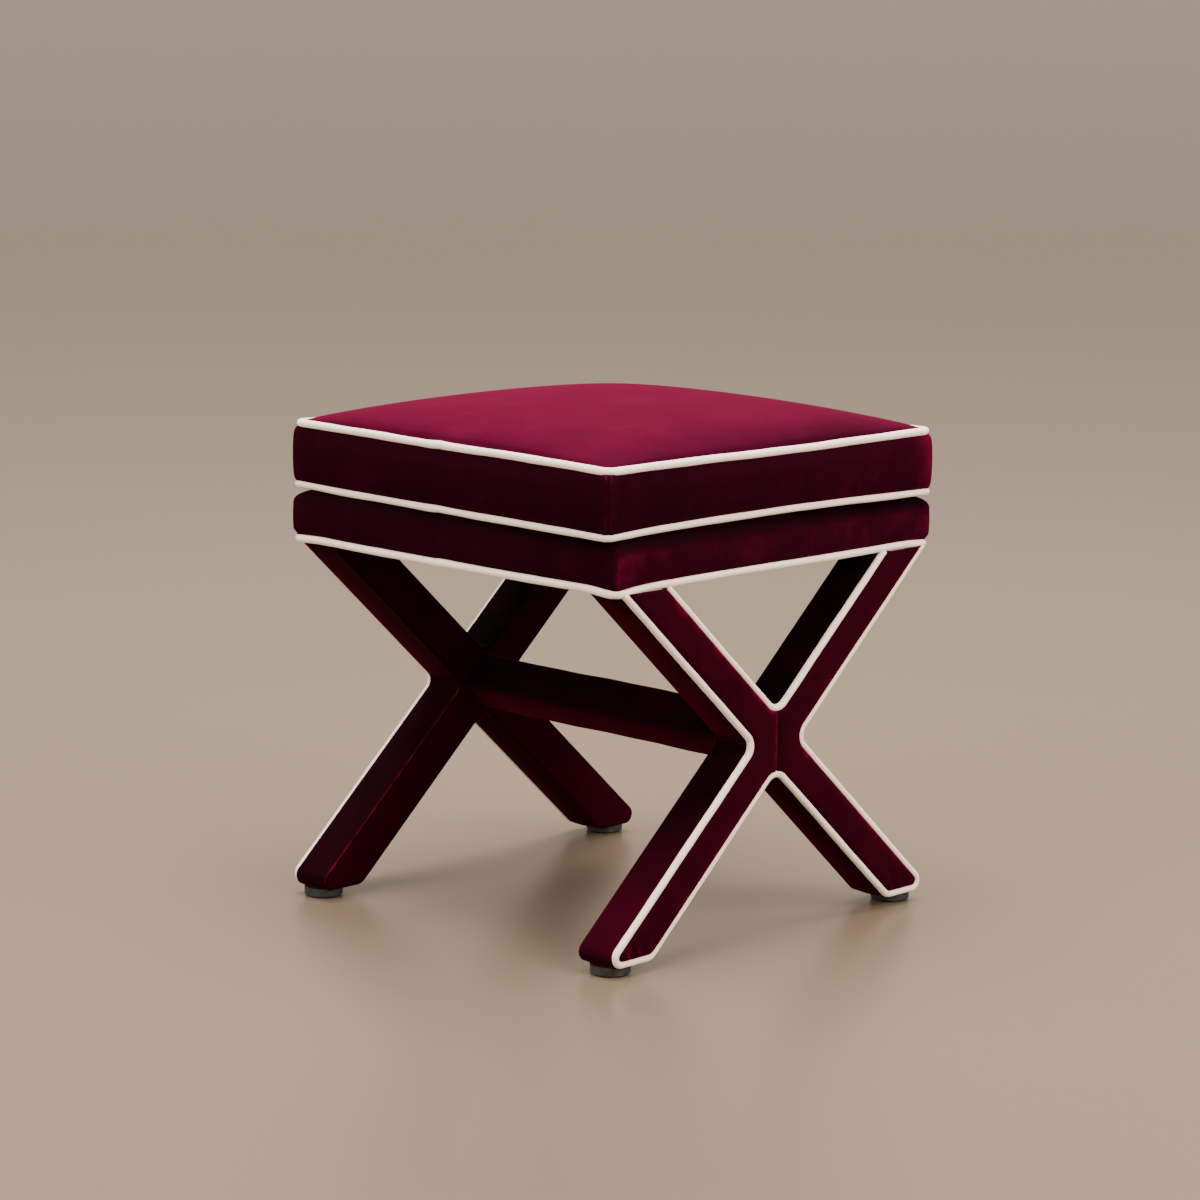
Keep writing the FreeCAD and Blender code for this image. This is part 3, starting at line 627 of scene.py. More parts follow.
@dataclass(frozen=True)
class Velvet(Finish):
    """Cotton velvet, a woven ground with a dense cut pile.

    The upright pile swallows light that falls straight on it and glows where it is seen edge-on, so folds and
    edges show as red rims in its sheen; cloudy patches follow the lie of the nap. Painted highlights brighten
    the colour along folds, rims, seams and corners, and the painted shading that each piece carries darkens
    it, or on some panels lightens it.
    """

    # The ramp's first colour is deep painted shade and its last a painted highlight; the ones between are the
    # cloth's own tones.
    deep_painted_shade: str = "#060002"
    shade: str = "#150007"
    body: str = "#1c000a"
    glow: str = "#270010"
    highlight_colour: str = "#60062d"
    sheen: str = "#b80044"
    sheen_weight: float = 0.6
    sheen_roughness: float = 0.3
    calm: float = 0.35
    lively: float = 0.55
    patch_size: float = 60
    brush_size: float = 14
    pile_size: float = 0.9
    stroke_share: float = 0.4
    pile_share: float = 0.25
    cloud_range: tuple[float, float] = (0.55, 1.1)
    stroke_range: tuple[float, float] = (0.35, 0.65)
    highlight_range: tuple[float, float] = (0.2, 0.5)

    def surface(self, tree: bpy.types.NodeTree) -> bpy.types.Node:
        """Nap patches, painted highlights and painted shading in the colour, pile grain in the bump, sheen on
        top.

        Args:
            tree: Empty tree of the material.

        Returns:
            The surface shader.
        """
        place = add_node(tree, "ShaderNodeTexCoord").outputs["Object"]
        patches = add_node(tree, "ShaderNodeTexNoise", {
            "Vector": place, "Scale": noise_scale(self.patch_size), "Detail": 4.0, "Roughness": 0.5,
        })
        strokes = add_node(tree, "ShaderNodeTexNoise", {
            "Vector": place, "Scale": noise_scale(self.brush_size), "Detail": 2.0, "Distortion": 0.6,
        })
        # The pile's tufts are about a tenth of this size, too fine for the render.
        pile = add_node(tree, "ShaderNodeTexNoise", {
            "Vector": place, "Scale": noise_scale(self.pile_size), "Detail": 2.0, "Roughness": 0.6,
        })
        nap_and_painted_shading = add_node(tree, "ShaderNodeMath", {
            0: strokes.outputs["Fac"], 1: self.stroke_share, 2: patches.outputs["Fac"],
        }, {"operation": "MULTIPLY_ADD"})
        grain = add_node(tree, "ShaderNodeMath", {
            0: pile.outputs["Fac"], 1: self.pile_share, 2: nap_and_painted_shading.outputs["Value"],
        }, {"operation": "MULTIPLY_ADD"})
        lit = add_node(tree, "ShaderNodeMapRange", {
            "Value": grain.outputs["Value"], "From Min": self.cloud_range[0], "From Max": self.cloud_range[1],
            "To Min": self.calm, "To Max": self.lively,
        })
        # Painted highlight and painted shading that each piece carries as point attributes: the shading moves
        # the tone, and the highlight, broken by the strokes, is added on top.
        highlight_paint, lean = (
            add_node(tree, "ShaderNodeAttribute", options={"attribute_name": name}) for name in ("painted_highlight", "nap_and_painted_shading")
        )
        turned = add_node(tree, "ShaderNodeMath", {0: lit.outputs["Result"], 1: lean.outputs["Fac"]})
        broken = add_node(tree, "ShaderNodeMapRange", {
            "Value": strokes.outputs["Fac"],
            "From Min": self.stroke_range[0], "From Max": self.stroke_range[1],
            "To Min": self.highlight_range[0], "To Max": self.highlight_range[1],
        })
        tone = add_node(tree, "ShaderNodeMath", {
            0: highlight_paint.outputs["Fac"], 1: broken.outputs["Result"], 2: turned.outputs["Value"],
        }, {"operation": "MULTIPLY_ADD"})
        colour = add_node(tree, "ShaderNodeValToRGB", {"Fac": tone.outputs["Value"]}, steps=(
            (0.0, self.deep_painted_shade), (0.3, self.shade), (0.45, self.body), (0.6, self.glow), (1.0, self.highlight_colour),
        ))
        lie = add_node(tree, "ShaderNodeBump", {
            "Height": nap_and_painted_shading.outputs["Value"], "Strength": 0.2, "Distance": 0.002,
        })
        bump = add_node(tree, "ShaderNodeBump", {
            "Height": pile.outputs["Fac"], "Strength": 0.35, "Distance": 0.0003,
            "Normal": lie.outputs["Normal"],
        })
        return add_node(tree, "ShaderNodeBsdfPrincipled", {
            "Base Color": colour.outputs["Color"], "Normal": bump.outputs["Normal"], "Roughness": 0.85,
            "IOR": 1.46, "Specular IOR Level": 0.03, "Sheen Weight": self.sheen_weight,
            "Sheen Roughness": self.sheen_roughness, "Sheen Tint": linear(self.sheen),
        })


@dataclass(frozen=True)
class PipingCotton(Finish):
    """Cotton cloth cut on the bias and sewn round a cord.

    Its threads cross the cord at a slant in both directions, matt and slightly furry, with a warm cream
    colour that is a little greyer between the threads.
    """

    thread: str = "#fff0e3"
    gap: str = "#f5dccb"
    thread_spacing: float = 1.0
    bias: float = 45
    slub_size: float = 9
    slub_share: float = 0.7

    def surface(self, tree: bpy.types.NodeTree) -> bpy.types.Node:
        """Two slanting wave patterns over the cord's own coordinates, as colour and bump.

        Args:
            tree: Empty tree of the material.

        Returns:
            The surface shader.
        """
        coordinates = add_node(tree, "ShaderNodeTexCoord").outputs
        # Threads are about 0.4 mm apart on the real cloth; they are drawn coarser so that they show.
        heights = []
        for turn in (self.bias, -self.bias):
            slant = add_node(tree, "ShaderNodeMapping", {
                "Vector": coordinates["UV"], "Rotation": (0.0, 0.0, math.radians(turn)),
            })
            threads = add_node(tree, "ShaderNodeTexWave", {
                "Vector": slant.outputs["Vector"], "Scale": wave_scale(self.thread_spacing),
                "Distortion": 0.6, "Detail": 1.0,
            })
            heights.append(threads.outputs["Fac"])
        weave = add_node(tree, "ShaderNodeMath", {0: heights[0], 1: heights[1]}, {"operation": "MULTIPLY"})
        slub = add_node(tree, "ShaderNodeTexNoise", {
            "Vector": coordinates["Object"], "Scale": noise_scale(self.slub_size), "Detail": 3.0,
        })
        mixed = add_node(tree, "ShaderNodeMath", {
            0: slub.outputs["Fac"], 1: self.slub_share, 2: weave.outputs["Value"],
        }, {"operation": "MULTIPLY_ADD"})
        colour = add_node(tree, "ShaderNodeValToRGB", {"Fac": mixed.outputs["Value"]}, steps=(
            (0.15, self.gap), (0.75, self.thread),
        ))
        bump = add_node(tree, "ShaderNodeBump", {
            "Height": weave.outputs["Value"], "Strength": 0.45, "Distance": 0.0004,
        })
        return add_node(tree, "ShaderNodeBsdfPrincipled", {
            "Base Color": colour.outputs["Color"], "Normal": bump.outputs["Normal"], "Roughness": 0.85,
            "IOR": 1.46, "Specular IOR Level": 0.25, "Sheen Weight": 0.45, "Sheen Roughness": 0.5,
        })


@dataclass(frozen=True)
class GrainedWood(Finish):
    """Planed timber left raw: long pores and darker rings along the grain, a dry surface between."""

    light: str = "#c99f6e"
    dark: str = "#a47848"
    grain_width: float = 2.2
    grain_length: float = 45
    turn: tuple[float, float, float] = (0.0, 0.0, 0.0)

    def surface(self, tree: bpy.types.NodeTree) -> bpy.types.Node:
        """Noise drawn out along the grain, which runs along X before it is turned.

        Args:
            tree: Empty tree of the material.

        Returns:
            The surface shader.
        """
        place = add_node(tree, "ShaderNodeTexCoord").outputs["Object"]
        turned = add_node(tree, "ShaderNodeMapping", {
            "Vector": place, "Rotation": tuple(math.radians(angle) for angle in self.turn),
        })
        drawn = add_node(tree, "ShaderNodeMapping", {
            "Vector": turned.outputs["Vector"], "Scale": (self.grain_width / self.grain_length, 1.0, 1.0),
        })
        grain = add_node(tree, "ShaderNodeTexNoise", {
            "Vector": drawn.outputs["Vector"], "Scale": noise_scale(self.grain_width), "Detail": 4.0,
            "Roughness": 0.6,
        })
        colour = add_node(tree, "ShaderNodeValToRGB", {"Fac": grain.outputs["Fac"]}, steps=(
            (0.35, self.dark), (0.65, self.light),
        ))
        bump = add_node(tree, "ShaderNodeBump", {
            "Height": grain.outputs["Fac"], "Strength": 0.25, "Distance": 0.0003,
        })
        return add_node(tree, "ShaderNodeBsdfPrincipled", {
            "Base Color": colour.outputs["Color"], "Normal": bump.outputs["Normal"], "Roughness": 0.62,
            "IOR": 1.5,
        })


@dataclass(frozen=True)
class ZincSteel(Finish):
    """Zinc-plated steel: bright bluish metal with a faintly cloudy, spangled plating."""

    colour: str = "#b9bcc0"
    cloud_size: float = 3

    def surface(self, tree: bpy.types.NodeTree) -> bpy.types.Node:
        """Metal whose roughness clouds over in small patches.

        Args:
            tree: Empty tree of the material.

        Returns:
            The surface shader.
        """
        place = add_node(tree, "ShaderNodeTexCoord").outputs["Object"]
        clouds = add_node(tree, "ShaderNodeTexNoise", {
            "Vector": place, "Scale": noise_scale(self.cloud_size), "Detail": 3.0,
        })
        roughness = add_node(tree, "ShaderNodeMapRange", {
            "Value": clouds.outputs["Fac"], "To Min": 0.22, "To Max": 0.5,
        })
        return add_node(tree, "ShaderNodeBsdfPrincipled", {
            "Base Color": linear(self.colour), "Metallic": 1.0, "Roughness": roughness.outputs["Result"],
        })


@dataclass(frozen=True)
class MouldedNylon(Finish):
    """Moulded black nylon: a fine spark-eroded grain that is worn a little smoother and greyer in patches."""

    dark: str = "#17181a"
    worn: str = "#34363a"
    grain_size: float = 0.8
    wear_size: float = 9

    def surface(self, tree: bpy.types.NodeTree) -> bpy.types.Node:
        """Fine grain in the bump, wear in the colour and the roughness.

        Args:
            tree: Empty tree of the material.

        Returns:
            The surface shader.
        """
        place = add_node(tree, "ShaderNodeTexCoord").outputs["Object"]
        grain = add_node(tree, "ShaderNodeTexNoise", {
            "Vector": place, "Scale": noise_scale(self.grain_size), "Detail": 2.0,
        })
        wear = add_node(tree, "ShaderNodeTexNoise", {
            "Vector": place, "Scale": noise_scale(self.wear_size), "Detail": 4.0,
        })
        colour = add_node(tree, "ShaderNodeValToRGB", {"Fac": wear.outputs["Fac"]}, steps=(
            (0.4, self.dark), (0.75, self.worn),
        ))
        roughness = add_node(tree, "ShaderNodeMapRange", {
            "Value": wear.outputs["Fac"], "To Min": 0.6, "To Max": 0.4,
        })
        bump = add_node(tree, "ShaderNodeBump", {
            "Height": grain.outputs["Fac"], "Strength": 0.3, "Distance": 0.0003,
        })
        return add_node(tree, "ShaderNodeBsdfPrincipled", {
            "Base Color": colour.outputs["Color"], "Normal": bump.outputs["Normal"], "IOR": 1.53,
            "Roughness": roughness.outputs["Result"],
        })


@dataclass(frozen=True)
class LooseFibre(Finish):
    """Foam, wadding or bonded cloth: matt, porous or fibrous, with small shadows between cells or fibres."""

    light: str = "#efe9dc"
    dark: str = "#cfc8b8"
    cell_size: float = 1.6

    def surface(self, tree: bpy.types.NodeTree) -> bpy.types.Node:
        """Cells in the colour and the bump.

        Args:
            tree: Empty tree of the material.

        Returns:
            The surface shader.
        """
        place = add_node(tree, "ShaderNodeTexCoord").outputs["Object"]
        cells = add_node(tree, "ShaderNodeTexNoise", {
            "Vector": place, "Scale": noise_scale(self.cell_size), "Detail": 4.0, "Roughness": 0.7,
        })
        colour = add_node(tree, "ShaderNodeValToRGB", {"Fac": cells.outputs["Fac"]}, steps=(
            (0.3, self.dark), (0.7, self.light),
        ))
        bump = add_node(tree, "ShaderNodeBump", {
            "Height": cells.outputs["Fac"], "Strength": 0.5, "Distance": 0.0006,
        })
        return add_node(tree, "ShaderNodeBsdfPrincipled", {
            "Base Color": colour.outputs["Color"], "Normal": bump.outputs["Normal"], "Roughness": 0.95,
            "IOR": 1.45, "Specular IOR Level": 0.2,
        })


# Lit and shaded copies of one velvet, with painted light and shade in their colours and sheen: the seat's
# copy is the brightest, the X faces and the wraps are lighter than the upright sides, the left wrap is
# darker than the right, and the base, the bar and the wraps have less sheen.
VELVET = Velvet("cotton_velvet_shaded_sides")
VELVET_BASE = Velvet("cotton_velvet_base", sheen_weight=0.4)
VELVET_NEAR_WRAP = Velvet(
    "cotton_velvet_near_wrap", shade="#21000c", body="#2a000f", glow="#330013", highlight_colour="#740a2d",
    sheen_weight=0.3,
)
VELVET_FAR_WRAP = Velvet(
    "cotton_velvet_far_wrap", shade="#1c000a", body="#24000d", glow="#2c0010", highlight_colour="#740a2d",
    sheen_weight=0.25,
)
VELVET_LIT_FACES = Velvet(
    "cotton_velvet_lit_faces", shade="#1f000b", body="#27000e", glow="#2f0011", highlight_colour="#740a2d",
    sheen_weight=0.65,
)
VELVET_LIT_SEAT = Velvet(
    "cotton_velvet_lit_seat", shade="#2f0018", body="#36001a", glow="#3e031f", highlight_colour="#560a30",
    sheen="#a80c4c", sheen_weight=0.48, sheen_roughness=0.4, calm=0.3, lively=0.6,
)
PIPING = PipingCotton("bias_cotton_piping")
FOAM = LooseFibre("polyurethane_foam", "#eadfae", "#cdbf86", 1.2)
WADDING = LooseFibre("polyester_wadding", "#f1efea", "#d3d0c9", 2.5)
CAMBRIC = LooseFibre("spun_cambric", "#2b2a2b", "#151415", 1.0)
BEECH_ALONG_X = GrainedWood("beech_along_x")
BEECH_ALONG_Y = GrainedWood("beech_along_y", turn=(0.0, 0.0, 90.0))
BEECH_RISING = GrainedWood("beech_rising_leg", turn=(-43.0, 0.0, 90.0))
BEECH_FALLING = GrainedWood("beech_falling_leg", turn=(43.0, 0.0, 90.0))
BIRCH_PLY = GrainedWood("birch_plywood", "#dcc196", "#bd9a67", 3.0, 70)
ZINC_STEEL = ZincSteel("zinc_plated_steel")
NYLON = MouldedNylon("moulded_black_nylon")


# X frames.


@dataclass(frozen=True)
class XOutline:
    """Outline of two crossing legs in Y and Z, at any inset from the velvet."""

    foot_y: float = 212
    top_y: float = 190.5
    leg_width: float = 46
    notch_radius: float = 15
    side_notch: float = 11
    toe_radius: float = 10.25
    heel_radius: float = 16.25
    low: float = 10
    high: float = 376
    arm_stations: int = 56
    quarter_stations: int = 9
    seam_stations: int = 14
    foot_stations: int = 14
    columns: int = 21

    @property
    def slope(self) -> float:
        """Rise of a leg for each millimetre of run."""
        return (self.high - self.low) / (self.foot_y + self.top_y)

    @property
    def cross_z(self) -> float:
        """Level of the crossing."""
        return self.low + self.slope * self.foot_y

    @property
    def top_middle(self) -> int:
        """Station of the inner edge at the bottom of the top notch."""
        return self.arm_stations + self.quarter_stations - 1

    @property
    def bottom_middle(self) -> int:
        """Station of the inner edge at the top of the bottom notch."""
        return self.arm_stations + self.quarter_stations + self.seam_stations

    def across(self) -> np.ndarray:
        """Shares of the way from the outer to the inner edge, closer together at both."""
        return 0.5 - 0.5 * np.cos(np.linspace(0, math.pi, self.columns))

    def edges(self, inset: float, sole: float, top: float) -> tuple[np.ndarray, np.ndarray]:
        """Two edges of the front half of the X, from the top of the upper arm down to the sole of the foot.

        The outer edge goes down the arm, round the side notch and out to the toe. The inner edge goes down
        the arm, round half of the top notch, down the middle line, round half of the bottom notch and out to
        the heel. Straight stretches and arcs meet at tangents, and both edges have the same number of
        stations.

        Args:
            inset: Distance inwards from the outline.
            sole: Level of the foot's underside.
            top: Level where the arms end.

        Returns:
            Outer and inner edge, each an array of Y and Z.
        """
        slope, mid = self.slope, self.cross_z
        rise_share = math.hypot(slope, 1)
        run_share = rise_share / slope
        half = self.leg_width / 2 - inset
        run, rise = half * run_share, half * rise_share
        notch, side_notch = self.notch_radius + inset, self.side_notch + inset
        toe, heel = self.toe_radius - inset, self.heel_radius - inset
        lean = math.atan2(1, slope)
        reach, foot = (top - mid) / slope, (mid - sole) / slope

        notch_stations = 2 * self.quarter_stations + self.seam_stations
        side = arc((-run - side_notch * run_share, mid), side_notch, (lean, -lean), notch_stations)
        toe_middle = (-foot - run + toe * (1 + rise_share) / slope, sole + toe)
        toe_arc = arc(toe_middle, toe, (math.pi - lean, 1.5 * math.pi), self.foot_stations)
        outer = np.vstack([
            straight((-reach - run, top), side[0], self.arm_stations), side,
            straight(side[-1], toe_arc[0], self.arm_stations)[1:], toe_arc,
        ])

        away = rise + notch * rise_share
        upper = arc((0, mid + away), notch, (lean - math.pi, -math.pi / 2), self.quarter_stations)
        lower = arc((0, mid - away), notch, (math.pi / 2, math.pi - lean), self.quarter_stations)
        middle = straight(upper[-1], lower[0], self.seam_stations + 1)[1:]
        heel_middle = (-foot + run + heel * (1 - rise_share) / slope, sole + heel)
        heel_arc = arc(heel_middle, heel, (-lean, -math.pi / 2), self.foot_stations)
        inner = np.vstack([
            straight((-reach + run, top), upper[0], self.arm_stations), upper, middle, lower,
            straight(lower[-1], heel_arc[0], self.arm_stations)[1:], heel_arc,
        ])
        return outer, inner

    def around(self, inset: float, sole: float, top: float) -> tuple[np.ndarray, np.ndarray]:
        """The outline as two open paths: the long way round both feet, and the short V above the crossing.

        Args:
            inset: Distance inwards from the outline.
            sole: Level of the foot's underside.
            top: Level where the arms end.

        Returns:
            Long and short path, each an array of Y and Z.
        """
        outer, inner = self.edges(inset, sole, top)
        share = self.across()[1:-1, None]
        under = (1 - share) * outer[-1] + share * inner[-1]
        half = np.vstack([outer, under, inner[self.bottom_middle:][::-1]])
        long_way = np.vstack([half, (half * (-1, 1))[::-1][1:]])
        arm = inner[:self.top_middle + 1]
        short_way = np.vstack([arm, (arm * (-1, 1))[::-1][1:]])
        return long_way, short_way


@dataclass
class XFrame:
    """Upholstered X frame at one end: padding, velvet wrap, two face panels and the piping round them."""

    side: Side
    inner_x: float
    face_x: float
    welt_radius: float
    outline: XOutline = XOutline()
    velvet: float = 1.0
    tuck_top: float = 0.4
    # Wrap: a fold at the inner face, slightly full sides, and an edge tucked in under the piping.
    fold_radius: float = 3.0
    fold_ridge: float = 0.6
    fold_points: int = 9
    side_points: int = 14
    wrap_bulge: float = 0.9
    wrap_end: float = 230.2
    lap: float = 2.4
    lap_tuck: float = 2.2
    lap_full: float = 0.5
    lap_points: int = 5
    inner_pillow: float = 1.3
    inner_softness: float = 8.0
    # Face panels, the seam between them and the gathers at their feet.
    face_inset: float = 4.0
    face_dip: float = 3.0
    face_pillow: float = 4.8
    face_softness: float = 2.0
    sole_gap: float = 2.0
    seam_depth: float = 1.7
    seam_width: float = 2.2
    pucker_height: float = 1.5
    pucker_reach: float = 15.0
    pucker_margin: float = 6.0
    pucker_lean: float = 0.5
    pucker_waves: Waves = ((0.5, 17.0, 0.5), (0.35, 7.7, 2.1), (0.2, 4.9, 0.9))
    # Piping.
    welt_inset: float = 2.8
    welt_depth: float = 2.8
    cord_thinner: float = 0.35
    welt_sway: Waves = ((0.12, 143, 0.4), (0.06, 47, 1.9))
    welt_swell: Waves = ((0.06, 61, 0.0), (0.04, 17, 1.0))
    left_v_tuck: float = 1.1
    # Padding.
    pad_gap: float = 1.3
    pad_wall: float = 1.6
    pad_step: float = 225.6
    pad_step_run: float = 0.8
    pad_face_inset: float = 7.6
    # Painted highlights along the fold, the rims, the seam and the gathers, with painted shade after the
    # seam.
    fold_highlight_spread: float = 1.6
    hidden_highlight_loss: float = 0.65
    rim_highlight: float = 1.2
    rim_width: float = 2.2
    wide_rim_highlight: float = 0.45
    glow_width: float = 11.0
    before_seam: float = 0.5
    after_seam: float = -0.6
    shading_width: float = 9.0
    pucker_highlight: float = 0.9
    # Painted shade on the wrap's sides, and painted light on its inner faces.
    down_steepness: float = 3.0
    hidden_shade: float = 0.2
    crossing_shade: float = 0.4
    shade_from: float = 60.0
    shade_run: float = 100.0
    left_shade: float = 0.28
    inner_painted_light: float = 0.07

    def placed(self, points: np.ndarray) -> np.ndarray:
        """Points of the right frame, or for the left one the same points turned half a turn about Z."""
        return points * (self.side.value, self.side.value, 1)

    def node(self, word: str) -> str:
        """Name of a node at this end."""
        return f"{self.side.name.lower()}_{word}"

    def band(self, profile: np.ndarray) -> list[Patch]:
        """Profile carried round the outline: point (i, k) is its station i at the profile's k-th inset and X.

        No point goes below the sole, which stands on the glide. Painted shade darkens the V under the base
        and the sides that look down, where the painted highlight along the fold is weaker too.

        Args:
            profile: Rows of X and inset.

        Returns:
            The long way round and the short V, as two patches.
        """
        low, top = self.outline.low, self.outline.high + self.tuck_top
        rings = [self.outline.around(inset, low + inset, top) for _, inset in profile]
        highlight_paint = hump(np.arange(len(profile)) - self.fold_points // 2, self.fold_highlight_spread)[None]
        long_way, short_way = (np.stack([ring[way] for ring in rings], axis=1) for way in range(2))
        patches = []
        for plane, in_v in ((long_way, False), (short_way, True)):
            looks_down = smooth_step(0.5 + self.down_steepness * path_normals(plane[:, 0])[:, 1:])
            hidden, dark = (1.0, self.crossing_shade) if in_v else (looks_down, self.hidden_shade)
            plane[..., 1] = np.maximum(plane[..., 1], low)
            x = np.broadcast_to(profile[:, 0], plane.shape[:2])
            points = self.placed(np.concatenate([x[..., None], plane], axis=-1))
            # Painted highlight along the fold, weaker where the side looks down, and painted shade on the
            # sides.
            painted_highlight = highlight_paint * (1 - self.hidden_highlight_loss * hidden)
            shade = self.open_shade(plane[..., 1])
            patches.append(patch(points, painted_highlight, -(shade + hidden * (dark - shade)) * (1 - painted_highlight)))
        return patches

    def open_shade(self, z: np.ndarray) -> np.ndarray:
        """Painted shade on sides that look up, by their level.

        It grows from the foot to the crossing, and at the left end it is the same all along.

        Args:
            z: Levels of the points.

        Returns:
            A share for each level.
        """
        if self.side is Side.LEFT:
            return np.full(z.shape, self.left_shade)
        return self.crossing_shade * smooth_step((z - self.shade_from) / self.shade_run)

    def strips(self, inset: float, sole: float, x: float, pillow: float, softness: float) -> list[np.ndarray]:
        """Face of the X as a front and a back strip, ruled between the outline's two edges.

        Across a strip the face rises by pillow (1 - exp(-d / softness)) from each sewn edge, where d is the
        distance from it. It stays up along the middle line, and falls only to the notches at its two ends.

        Args:
            inset: Inset of the strip's sewn edges.
            sole: Level of its lower end.
            x: X of the sewn edges.
            pillow: Height of the face over them, along X.
            softness: Width over which the face rises.

        Returns:
            Points of the front and the back strip, before the frame is turned to its side.
        """
        outer, inner = self.outline.edges(inset, sole, self.outline.high + self.tuck_top)
        across = self.outline.across()[None, :]
        plane = outer[:, None] * (1 - across[..., None]) + inner[:, None] * across[..., None]
        width = np.linalg.norm(inner - outer, axis=-1)[:, None]
        open_end = self.seam_share(inner, softness)[:, None]
        rise_outer = 1 - np.exp(-across * width / softness)
        rise_inner = 1 - np.exp(-(1 - across) * width / softness)
        rise_sole = 1 - np.exp(-(plane[..., 1] - sole) / softness)
        height = pillow * rise_outer * (open_end + (1 - open_end) * rise_inner) * rise_sole
        front = np.concatenate([(x + height)[..., None], plane], axis=-1)
        return [front, front * (1, -1, 1)]

    def seam_share(self, inner: np.ndarray, softness: float) -> np.ndarray:
        """How far each inner station lies on the middle line: 1 - exp(-d / softness) from its nearer end.

        Args:
            inner: Inner edge of the outline.
            softness: Width over which the share rises.

        Returns:
            A share for each station, 0 outside the middle line.
        """
        top, bottom = inner[self.outline.top_middle, 1], inner[self.outline.bottom_middle, 1]
        from_end = np.clip(np.minimum(top - inner[:, 1], inner[:, 1] - bottom), 0, None)
        return 1 - np.exp(-from_end / softness)

    def face_highlight(self, strip: np.ndarray, on_seam: np.ndarray) -> np.ndarray:
        """Painted highlight of a face strip, along its +Y edge before the frame is turned to its side.

        It is a narrow bell over a wide one against the piping on that edge. Along the middle seam it is a
        painted highlight before the seam and painted shade after it.

        Args:
            strip: Points of the strip.
            on_seam: How far each row of it lies on the middle line.

        Returns:
            Painted highlight of each point.
        """
        last = strip[:, -1:] if strip[0, 0, 1] < strip[0, -1, 1] else strip[:, :1]
        rim = np.linalg.norm(strip[..., 1:] - last[..., 1:], axis=-1)
        y = strip[..., 1]
        lie = np.where(y < WELD_MM, self.before_seam, self.after_seam)
        bells = self.rim_highlight * hump(rim, self.rim_width) + self.wide_rim_highlight * hump(rim, self.glow_width)
        return (1 - on_seam) * bells + lie * on_seam * hump(y, self.shading_width)

    def puckers(self, strip: np.ndarray, sole: float) -> np.ndarray:
        """Small gathers above the sole: slanting waves along Y that fade upwards as exp(-height / reach).

        They die out over a margin before the sewn edges, so that the piping lies free.

        Args:
            strip: Points of the strip.
            sole: Level of its lower end.

        Returns:
            Height of the gathers at each point.
        """
        edges = (strip[:, :1], strip[:, -1:])
        from_edge = np.min([np.linalg.norm((strip - edge)[..., 1:], axis=-1) for edge in edges], axis=0)
        above = strip[..., 2] - sole
        fade = np.exp(-above / self.pucker_reach)
        ramp = smooth_step(above / self.pucker_margin) * smooth_step(from_edge / self.pucker_margin)
        along = strip[..., 1] + self.pucker_lean * strip[..., 2]
        return self.pucker_height * fade * ramp * waver(along, self.pucker_waves)

    def fold(self, x: float, inset: float, ridge: float, end: float, tuck: float) -> np.ndarray:
        """Profile of the wrap: a rounded fold with a sewn ridge, a slightly full side, and an edge tucked in.

        Args:
            x: X of the inner face.
            inset: Inset of the side.
            ridge: Height of the ridge on the fold.
            end: X where the side ends.
            tuck: Inset of that end.

        Returns:
            Rows of X and inset, from the inner face to the tucked edge.
        """
        radius = self.fold_radius
        turn = np.linspace(0, math.pi / 2, self.fold_points)
        reach = radius + ridge * np.square(np.sin(2 * turn))
        corner = np.stack([x + radius - reach * np.cos(turn), inset + radius - reach * np.sin(turn)], axis=-1)
        share = np.linspace(0, 1, self.side_points)[1:]
        side_x = x + radius + share * (end - self.lap - x - radius)
        swell = self.wrap_bulge * np.sin(math.pi * share) + self.lap_full * share
        full = np.stack([side_x, inset - swell], axis=-1)
        part = np.linspace(0, 1, self.lap_points)[1:]
        last = inset - self.lap_full
        tucked = np.stack([end - self.lap * (1 - part), last + (tuck - last) * part * part], axis=-1)
        return np.vstack([corner, full, tucked])

    def build(self) -> None:
        """Makes every piece of this frame and puts it on the frame's body."""
        self.build_wrap()
        self.build_faces()
        self.build_welt()
        self.build_padding()

    def build_wrap(self) -> None:
        """Velvet wrap over the inner face and the sides, folded in under the piping."""
        profile = self.fold(self.inner_x, 0, self.fold_ridge, self.wrap_end, self.lap_tuck)
        inner = self.strips(
            self.fold_radius, self.outline.low + self.fold_radius, self.inner_x, -self.inner_pillow,
            self.inner_softness,
        )
        # Painted light on the inner faces.
        faces = [patch(self.placed(strip), nap_and_painted_shading=self.inner_painted_light) for strip in inner]
        patches = [*self.band(profile), *faces]
        inwards = (-self.side.value, 0, 0)
        # The left frame's wrap takes the darker copy of the velvet, painted shade, and the right one the
        # lighter copy.
        finish = VELVET_NEAR_WRAP if self.side is Side.RIGHT else VELVET_FAR_WRAP
        wrap = dressed(self.node("x_wrap"), patches, Body.FRAME, Slot.VELVET, finish, inwards)
        thicken(wrap, self.velvet)

    def build_faces(self) -> None:
        """Front and back panel of the outer face, sewn together on a groove down the middle."""
        sole = self.outline.low + self.sole_gap + self.face_inset
        x = self.face_x - self.face_dip
        strips = self.strips(self.face_inset, sole, x, self.face_pillow, self.face_softness)
        _, inner = self.outline.edges(self.face_inset, sole, self.outline.high)
        on_seam = self.seam_share(inner, self.face_softness)[:, None]
        words = ("front", "back") if self.side is Side.RIGHT else ("back", "front")
        for word, strip in zip(words, strips):
            strip[..., 0] -= self.seam_depth * on_seam * hump(strip[..., 1], self.seam_width)
            pucker = self.puckers(strip, sole)
            strip[..., 0] += pucker
